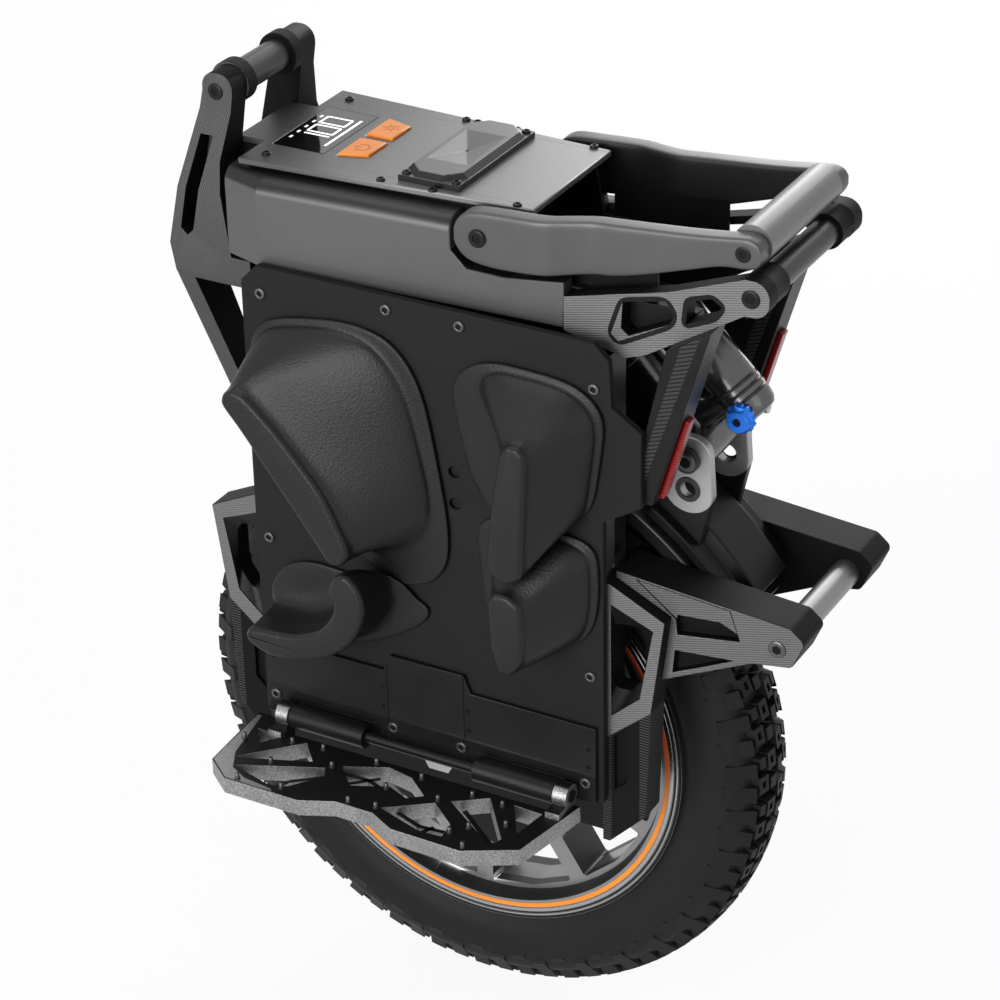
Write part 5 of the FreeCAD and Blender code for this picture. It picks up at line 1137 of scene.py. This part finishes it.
DECK = 262.0
STUDS = ((117, 201), (105, 171), (105, 139), (78, 136), (59, 154), (79, 197), (30, 134), (6, 160), (23, 189),
         (0, 186), (-12, 136), (-38, 156), (-59, 139), (-86, 140), (-77, 177), (-67, 189), (-85, 201),
         (-101, 162), (143, 150))
STUD = ((0, 0), (0, 2.4), (0.6, 2.6), (0.6, 1.9), (5.0, 1.7), (5.6, 1.2), (5.7, 0.0))
RIBS = (((92, 194), (84, 178), (62, 160)), ((60, 150), (30, 148), (2, 158)), ((44, 162), (22, 142)),
        ((-14, 176), (-37, 184), (-58, 182)), ((-40, 196), (-48, 180)), ((-58, 150), (-84, 170), (-103, 184)))
TIP_INNER = ((148.5, 116), (139, 170), (129, 189), (112, 198), (86, 201))
TIP_OUTER = ((152.4, 116), (149, 186), (127, 203.6), (112, 203.8), (84, 203.8))


def make_studs():
    """Turned studs on the deck, low ribs across its windows, and a bare bevel at its front corner."""
    rib_wide, rib_foot, rib_tall = 4.0, 249.5, 6.0
    tip_top, tip_thick = DECK + 0.06, np.array((0, 0, 0.3))
    for word, side in SIDES:
        body = "pedal_%s_body" % word
        skin, ribs, tip = Skin(), Skin(), Skin()
        for x, y in STUDS:
            skin.grid(turned(STUD, 12, (x, side * y, DECK), (0, 0, 1), (1, 0, 0)), wrap_v=True)
        for line in RIBS:
            spots = [(x, side * y) for x, y in line]
            for start, end in zip(spots, spots[1:]):
                flat_bar(ribs, start, end, rib_wide, rib_foot, rib_tall)
        inner, outer = (np.array([(x, side * y, tip_top) for x, y in line])
                        for line in (TIP_INNER, TIP_OUTER))
        strip = np.stack([inner, outer, outer - tip_thick, inner - tip_thick])
        tip.grid(strip, wrap_u=True).cap(strip[:, 0]).cap(strip[:, -1])
        skin.piece("pedal_studs_" + word, body, "steel", SCREW_GREY, 40)
        ribs.piece("pedal_ribs_" + word, body, "pedal_alloy", PEDAL_METAL, 40)
        tip.piece("pedal_tip_" + word, body, "pedal_alloy", BARE_ALLOY, 40)


# Dark borders: rings between an outline and the same outline moved in or out

def ring_line(points, count):
    """A closed outline as evenly spaced points, turned anticlockwise and starting nearest its front top."""
    p = np.asarray(points, float)
    area = np.sum(p[:, 0] * np.roll(p[:, 1], -1) - np.roll(p[:, 0], -1) * p[:, 1])
    p = p if area > 0 else p[::-1]
    ring = spread(np.vstack([p, p[:1]]), count)
    front_top = np.array((0.6, 1.0))
    return np.roll(ring, -int(np.argmax(ring @ front_top)), axis=0)


def side_rings(rings, side, end=1):
    """Outlines of (length, height), each at a half width of its own, as rows of points on one side."""
    return np.stack([np.stack([end * ring[:, 0], side * y + 0 * ring[:, 0], ring[:, 1]], axis=-1)
                     for ring, y in rings])


ARM_WINDOWS = (((-159.3, 682), (-193.3, 689.6), (-200, 680), (-197, 672), (-156, 650), (-150, 655)),
               ((-211, 693), (-229, 699), (-237, 694), (-231, 685), (-209, 675)))
LEG_WINDOW = ((-155, 436), (-190, 422), (-179, 360), (-155, 338))
LEG_HOLE = ((-156.2, 417.5), (-176, 419), (-181.5, 411), (-181, 376), (-170, 361), (-156.2, 361))


def make_borders():
    """Black borders round the rear arms' windows, and black bevelled linings inside the legs' windows:
    closed rings through four outlines."""
    arms, legs = Skin(), Skin()
    border, border_foot, border_top = 3.6, 80.99, 81.07
    leg_face, lining_face, lining_back = 91.0, 86.0, 71.0
    outer = ring_line(LEG_WINDOW, 96)
    inner = eased(ring_line(LEG_HOLE, 96), 4)
    lining = ((outer, leg_face), (inner, lining_face), (inner, lining_back), (outer, lining_back))
    for side in (1, -1):
        for window in ARM_WINDOWS:
            hole = ring_line(window, 72)
            wide = inset(eased(hole, 6), -border)
            rings = ((hole, border_top), (wide, border_top), (wide, border_foot), (hole, border_foot))
            arms.grid(side_rings(rings, side), wrap_u=True, wrap_v=True)
        for end in (1, -1):
            legs.grid(side_rings(lining, side, end), wrap_u=True, wrap_v=True)
    arms.piece("arm_borders", "frame", "alloy_black", RIM_DARK, 40)
    legs.piece("leg_linings", "fork", "alloy_black", SATIN_BLACK, 30)


WEB = ((-204.4, 432.2), (-172.5, 456.0), (-247.3, 449.8), (-253.6, 432.4), (-239.7, 438.4), (-205, 435.6))


def make_webs():
    """Raised webs that narrow the upper pocket of each bumper arm: one outline carried through its depth."""
    skin = Skin()
    back, face = 74.0, 80.95
    for side in (1, -1):
        rows = np.array([[(x, side * y, z) for x, z in WEB] for y in (back, face)])
        skin.grid(rows, wrap_v=True).cap(rows[0]).cap(rows[1])
    skin.piece("bumper_webs", "fork", "alloy_black", BUMPER_GREY, 30)


BOWL = ((0, 0), (0, 11.6), (0.3, 11.6), (0.1, 8.0), (0.35, 5.0), (0.5, 0))
BOWL_RIM = ((0.0, 11.4), (0.6, 11.8), (0.6, 13.2), (0.0, 13.6))


def make_headlight():
    """Two turned lamps with bright bowls on the front glass."""
    lo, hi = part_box("headlight_lens")
    face, middle, apart = hi[0] / MM, (lo[2] + hi[2]) / 2 / MM, 15.5
    bowls, rims = Skin(), Skin()
    for side in (1, -1):
        spot = (face, side * apart, middle)
        bowls.grid(turned(BOWL, 36, spot, (1, 0, 0)), wrap_v=True)
        rims.grid(turned(BOWL_RIM, 36, spot, (1, 0, 0)), wrap_u=True, wrap_v=True)
    bowls.piece("headlight_bowls", "frame", "lens", LENS_CLEAR, 40)
    rims.piece("headlight_rims", "frame", "lens", STEEL, 40)


# Display digits and button icons

STROKES = {"0": ("top", "right", "foot", "left"), "1": ("right",)}


def make_display():
    """Digits of straight strokes, with a line below them and a row of short marks above, a hair over the
    glass."""
    lo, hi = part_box("display_window")
    back, front, z = lo[0] / MM, hi[0] / MM, hi[2] / MM + 0.02
    tall, wide, gap, stroke, thick = 22.0, 13.0, 4.5, 2.0, 0.05
    skin = Skin()
    low = back + 13
    top = low + tall
    for place, digit in enumerate("100"):
        left = 1.5 * wide + gap - place * (wide + gap)
        right = left - wide
        lines = {"top": ((top, left), (top, right)), "right": ((top, right), (low, right)),
                 "foot": ((low, left), (low, right)), "left": ((top, left), (low, left))}
        for name in STROKES[digit]:
            flat_bar(skin, *lines[name], stroke, z, thick)
    flat_bar(skin, (back + 7, 27), (back + 7, -27), 2.2, z, thick)
    for y in (24, 13, 2, -9, -20):
        flat_bar(skin, (front - 5, y), (front - 5, y - 4), stroke, z, thick)
    skin.piece("display_digits", "frame", "display", DIGIT_WHITE, 40)


def flat_ring(skin, centre, radius, wide, z, high, start, end):
    """A flat arc of a ring: a rectangle carried from one angle to another; a whole turn meets itself."""
    angle = np.radians(np.linspace(start, end, 28))[None, :]
    reach = radius + wide / 2 * np.array((-1, -1, 1, 1))[:, None]
    level = z + high * np.array((0, 1, 1, 0))[:, None]
    x, y = centre[0] + reach * np.cos(angle), centre[1] + reach * np.sin(angle)
    rows = np.stack([x, y, level + 0 * x], axis=-1)
    skin.grid(rows, wrap_u=True)
    if end - start < 360:
        skin.cap(rows[:, 0]).cap(rows[:, -1])


def make_icons():
    """A broken ring with a stroke marks the power button, and a small ring with six rays the light's."""
    thick, power_stroke, light_stroke = 0.12, 1.3, 1.2
    for kind in ("power", "light"):
        node = kind + "_button"
        lo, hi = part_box(node)
        x, y, z = (lo[0] + hi[0]) / 2 / MM, (lo[1] + hi[1]) / 2 / MM, hi[2] / MM
        skin = Skin()
        if kind == "power":
            flat_ring(skin, (x, y), 5.6, power_stroke, z, thick, 40, 320)
            flat_bar(skin, (x + 1.5, y), (x + 6.8, y), power_stroke, z, thick)
        else:
            flat_ring(skin, (x, y), 3.0, light_stroke, z, thick, 0, 360)
            for turn in np.radians(np.arange(0, 360, 60)):
                way = np.array([math.cos(turn), math.sin(turn)])
                flat_bar(skin, (x, y) + way * 4.6, (x, y) + way * 7.0, light_stroke, z, thick)
        skin.piece(kind + "_icon", node + "_body", "button_orange", ICON_ORANGE, 40)


# Floor, light and camera, in metres

def placed(name, data):
    """A new object of the stage, linked into the scene."""
    holder = bpy.data.objects.new(name, data)
    bpy.context.scene.collection.objects.link(holder)
    return holder


def make_floor():
    """A wide plane: rays that show the backdrop see mostly plain white, all others its shaded white."""
    floor = bpy.data.meshes.new("floor")
    reach, plain_share = 40.0, 0.92
    corners = [(-reach, -reach, 0), (reach, -reach, 0), (reach, reach, 0), (-reach, reach, 0)]
    floor.from_pydata(corners, [], [(0, 1, 2, 3)])
    placed("floor", floor)
    paint = Paint("floor_white", (0.92, 0.92, 0.92), 0.9)
    share = paint.backdrop_rays() * plain_share
    shaded = Value(paint, paint.shader.outputs[0])
    plain = paint.node("ShaderNodeEmission", {}, {"Color": WHITE, "Strength": 1.0})
    blend = paint.node("ShaderNodeMixShader", {}, {0: share, 1: shaded, 2: plain})
    paint.feed(paint.tree.nodes["Material Output"].inputs["Surface"], blend)
    floor.materials.append(paint.material)


def make_world():
    """A dim white sky; rays that show the backdrop see it plain white."""
    world = bpy.data.worlds.new("studio")
    bpy.context.scene.world = world
    world.use_nodes = True
    sky = Nodes(world.node_tree)
    dim = sky.tree.nodes["Background"]
    sky.feed(dim.inputs["Color"], WHITE)
    sky.feed(dim.inputs["Strength"], 0.14)
    plain = sky.node("ShaderNodeBackground", {}, {"Color": WHITE, "Strength": 1.0})
    rays = sky.backdrop_rays()
    blend = sky.node("ShaderNodeMixShader", {}, {0: rays, 1: Value(sky, dim.outputs[0]), 2: plain})
    sky.feed(sky.tree.nodes["World Output"].inputs["Surface"], blend)


# Area lamps: name, place, the point faced, width and power
LAMPS = (
    ("key", (0.5, 3.4, 1.3), (0, 0, 0.45), 2.2, 118.0),
    ("fill", (-2.8, 1.2, 1.2), (0, 0, 0.4), 1.6, 7.0),
    ("back", (0.4, -3.3, 1.5), (0, 0, 0.45), 2.2, 85.0),
    ("top", (0.5, 0.2, 3.4), (0, 0, 0.5), 1.8, 24.0),
)


def make_lamps():
    """Each lamp shines along its own -Z, which is turned from its place to the point it faces."""
    for name, spot, aim, size, power in LAMPS:
        lamp = bpy.data.lights.new(name, "AREA")
        lamp.size = size
        lamp.energy = power
        holder = placed(name, lamp)
        holder.location = spot
        holder.rotation_euler = (Vector(aim) - Vector(spot)).to_track_quat("-Z", "Y").to_euler()


# The camera: directions to the picture's right, down and ahead, its place, and its focal length in pixels
CAMERA_RIGHT = (-0.875642, -0.482599, -0.018715)
CAMERA_DOWN = (-0.220388, 0.433759, -0.87366)
CAMERA_AHEAD = (0.429745, -0.760889, -0.486177)
CAMERA_PLACE = (-1.082156, 1.897426, 1.655799)
FOCAL, PICTURE, SENSOR = 3177.83, 1000.0, 36.0


def make_camera():
    """A camera looks along its own -Z with +Y up, so its columns are right, minus down and minus ahead."""
    camera = bpy.data.cameras.new("camera")
    camera.sensor_width = SENSOR
    camera.lens = FOCAL * SENSOR / PICTURE
    camera.clip_end = 100.0
    holder = placed("camera", camera)
    up, behind = -Vector(CAMERA_DOWN), -Vector(CAMERA_AHEAD)
    turn = Matrix((CAMERA_RIGHT, up, behind)).transposed().to_4x4()
    turn.translation = Vector(CAMERA_PLACE)
    holder.matrix_world = turn
    bpy.context.scene.camera = holder
    bpy.context.scene.view_settings.view_transform = "Standard"


# Nodes with broken edges, as paint and bevel; then nodes whose faces stay as they are
EDGED = (
    ("fork_legs", LEG_GREY, 1.2),
    ("bumper_arms", BUMPER_GREY, 1.5),
    ("front_upright_left", UPRIGHT_GREY, 1.2), ("front_upright_right", UPRIGHT_GREY, 1.2),
    ("rear_arm_left", ARM_GREY, 1.0), ("rear_arm_right", ARM_GREY, 1.0),
    ("upper_side_left", BAND_GREY, 1.0), ("upper_side_right", BAND_GREY, 1.0),
    ("top_plate", TOP_GREY, 1.0),
    ("side_panel_left", PANEL_BLACK, 1.5), ("side_panel_right", PANEL_BLACK, 1.5),
    ("pedal_left", PEDAL_METAL, 1.0), ("pedal_right", PEDAL_METAL, 1.0),
    ("pedal_hanger_left", HANGER_BLACK, 0.8), ("pedal_hanger_right", HANGER_BLACK, 0.8),
    ("link_plates", LINK_SILVER, 1.5),
    ("power_button", BUTTON_ORANGE, 1.0), ("light_button", BUTTON_ORANGE, 1.0),
    ("rear_pillars", PILLAR_BLACK, 0.8),
    ("fork_bridge", SATIN_BLACK, 1.2),
    ("mudguard", GUARD_BLACK, 1.0),
    ("rear_rails", SATIN_BLACK, 0.8),
    ("tail_lights", LAMP_RED, 0.8),
    ("shock_can", SHOCK_GREY, 1.0),
    ("headlight_housing", SATIN_BLACK, 2.0),
    ("axle_plates", MOTOR_BLACK, 1.0),
    ("shock_mount", SATIN_BLACK, 0.8),
)
KEPT = (
    ("bumper_bar", BRIGHT_TUBE), ("bail_tube", BAIL_TUBE),
    ("front_handle_tube", TUBE_GREY), ("rear_bar_tube", TUBE_GREY),
    ("display_window", GLASS_BLACK), ("headlight_lens", GLASS_BLACK),
    ("motor_covers", MOTOR_BLACK), ("wheel_bearings", STEEL), ("axle", STEEL), ("axle_nuts", STEEL),
    ("motor_stator", COPPER), ("link_bolt", SHOCK_DARK), ("hinge_pins", SATIN_BLACK), ("guide_rails", STEEL),
    ("battery_cases", GUARD_BLACK), ("battery_packs", CELL_WRAP),
    ("controller_housing", SATIN_BLACK), ("controller_board", BOARD_GREEN),
)

make_floor()
make_world()
make_lamps()
make_camera()
for node, paint, bevel in EDGED:
    edged(node, paint, bevel)
edged("rim", RIM_CAST, corner=12.0)
for node, paint in KEPT:
    finish(node, paint)
make_tyre()
make_rim_trim()
make_pads()
make_bail()
make_screws()
make_hatch()
make_shock()
make_knob()
make_bushes()
make_well()
make_studs()
make_borders()
make_webs()
make_headlight()
make_display()
make_icons()
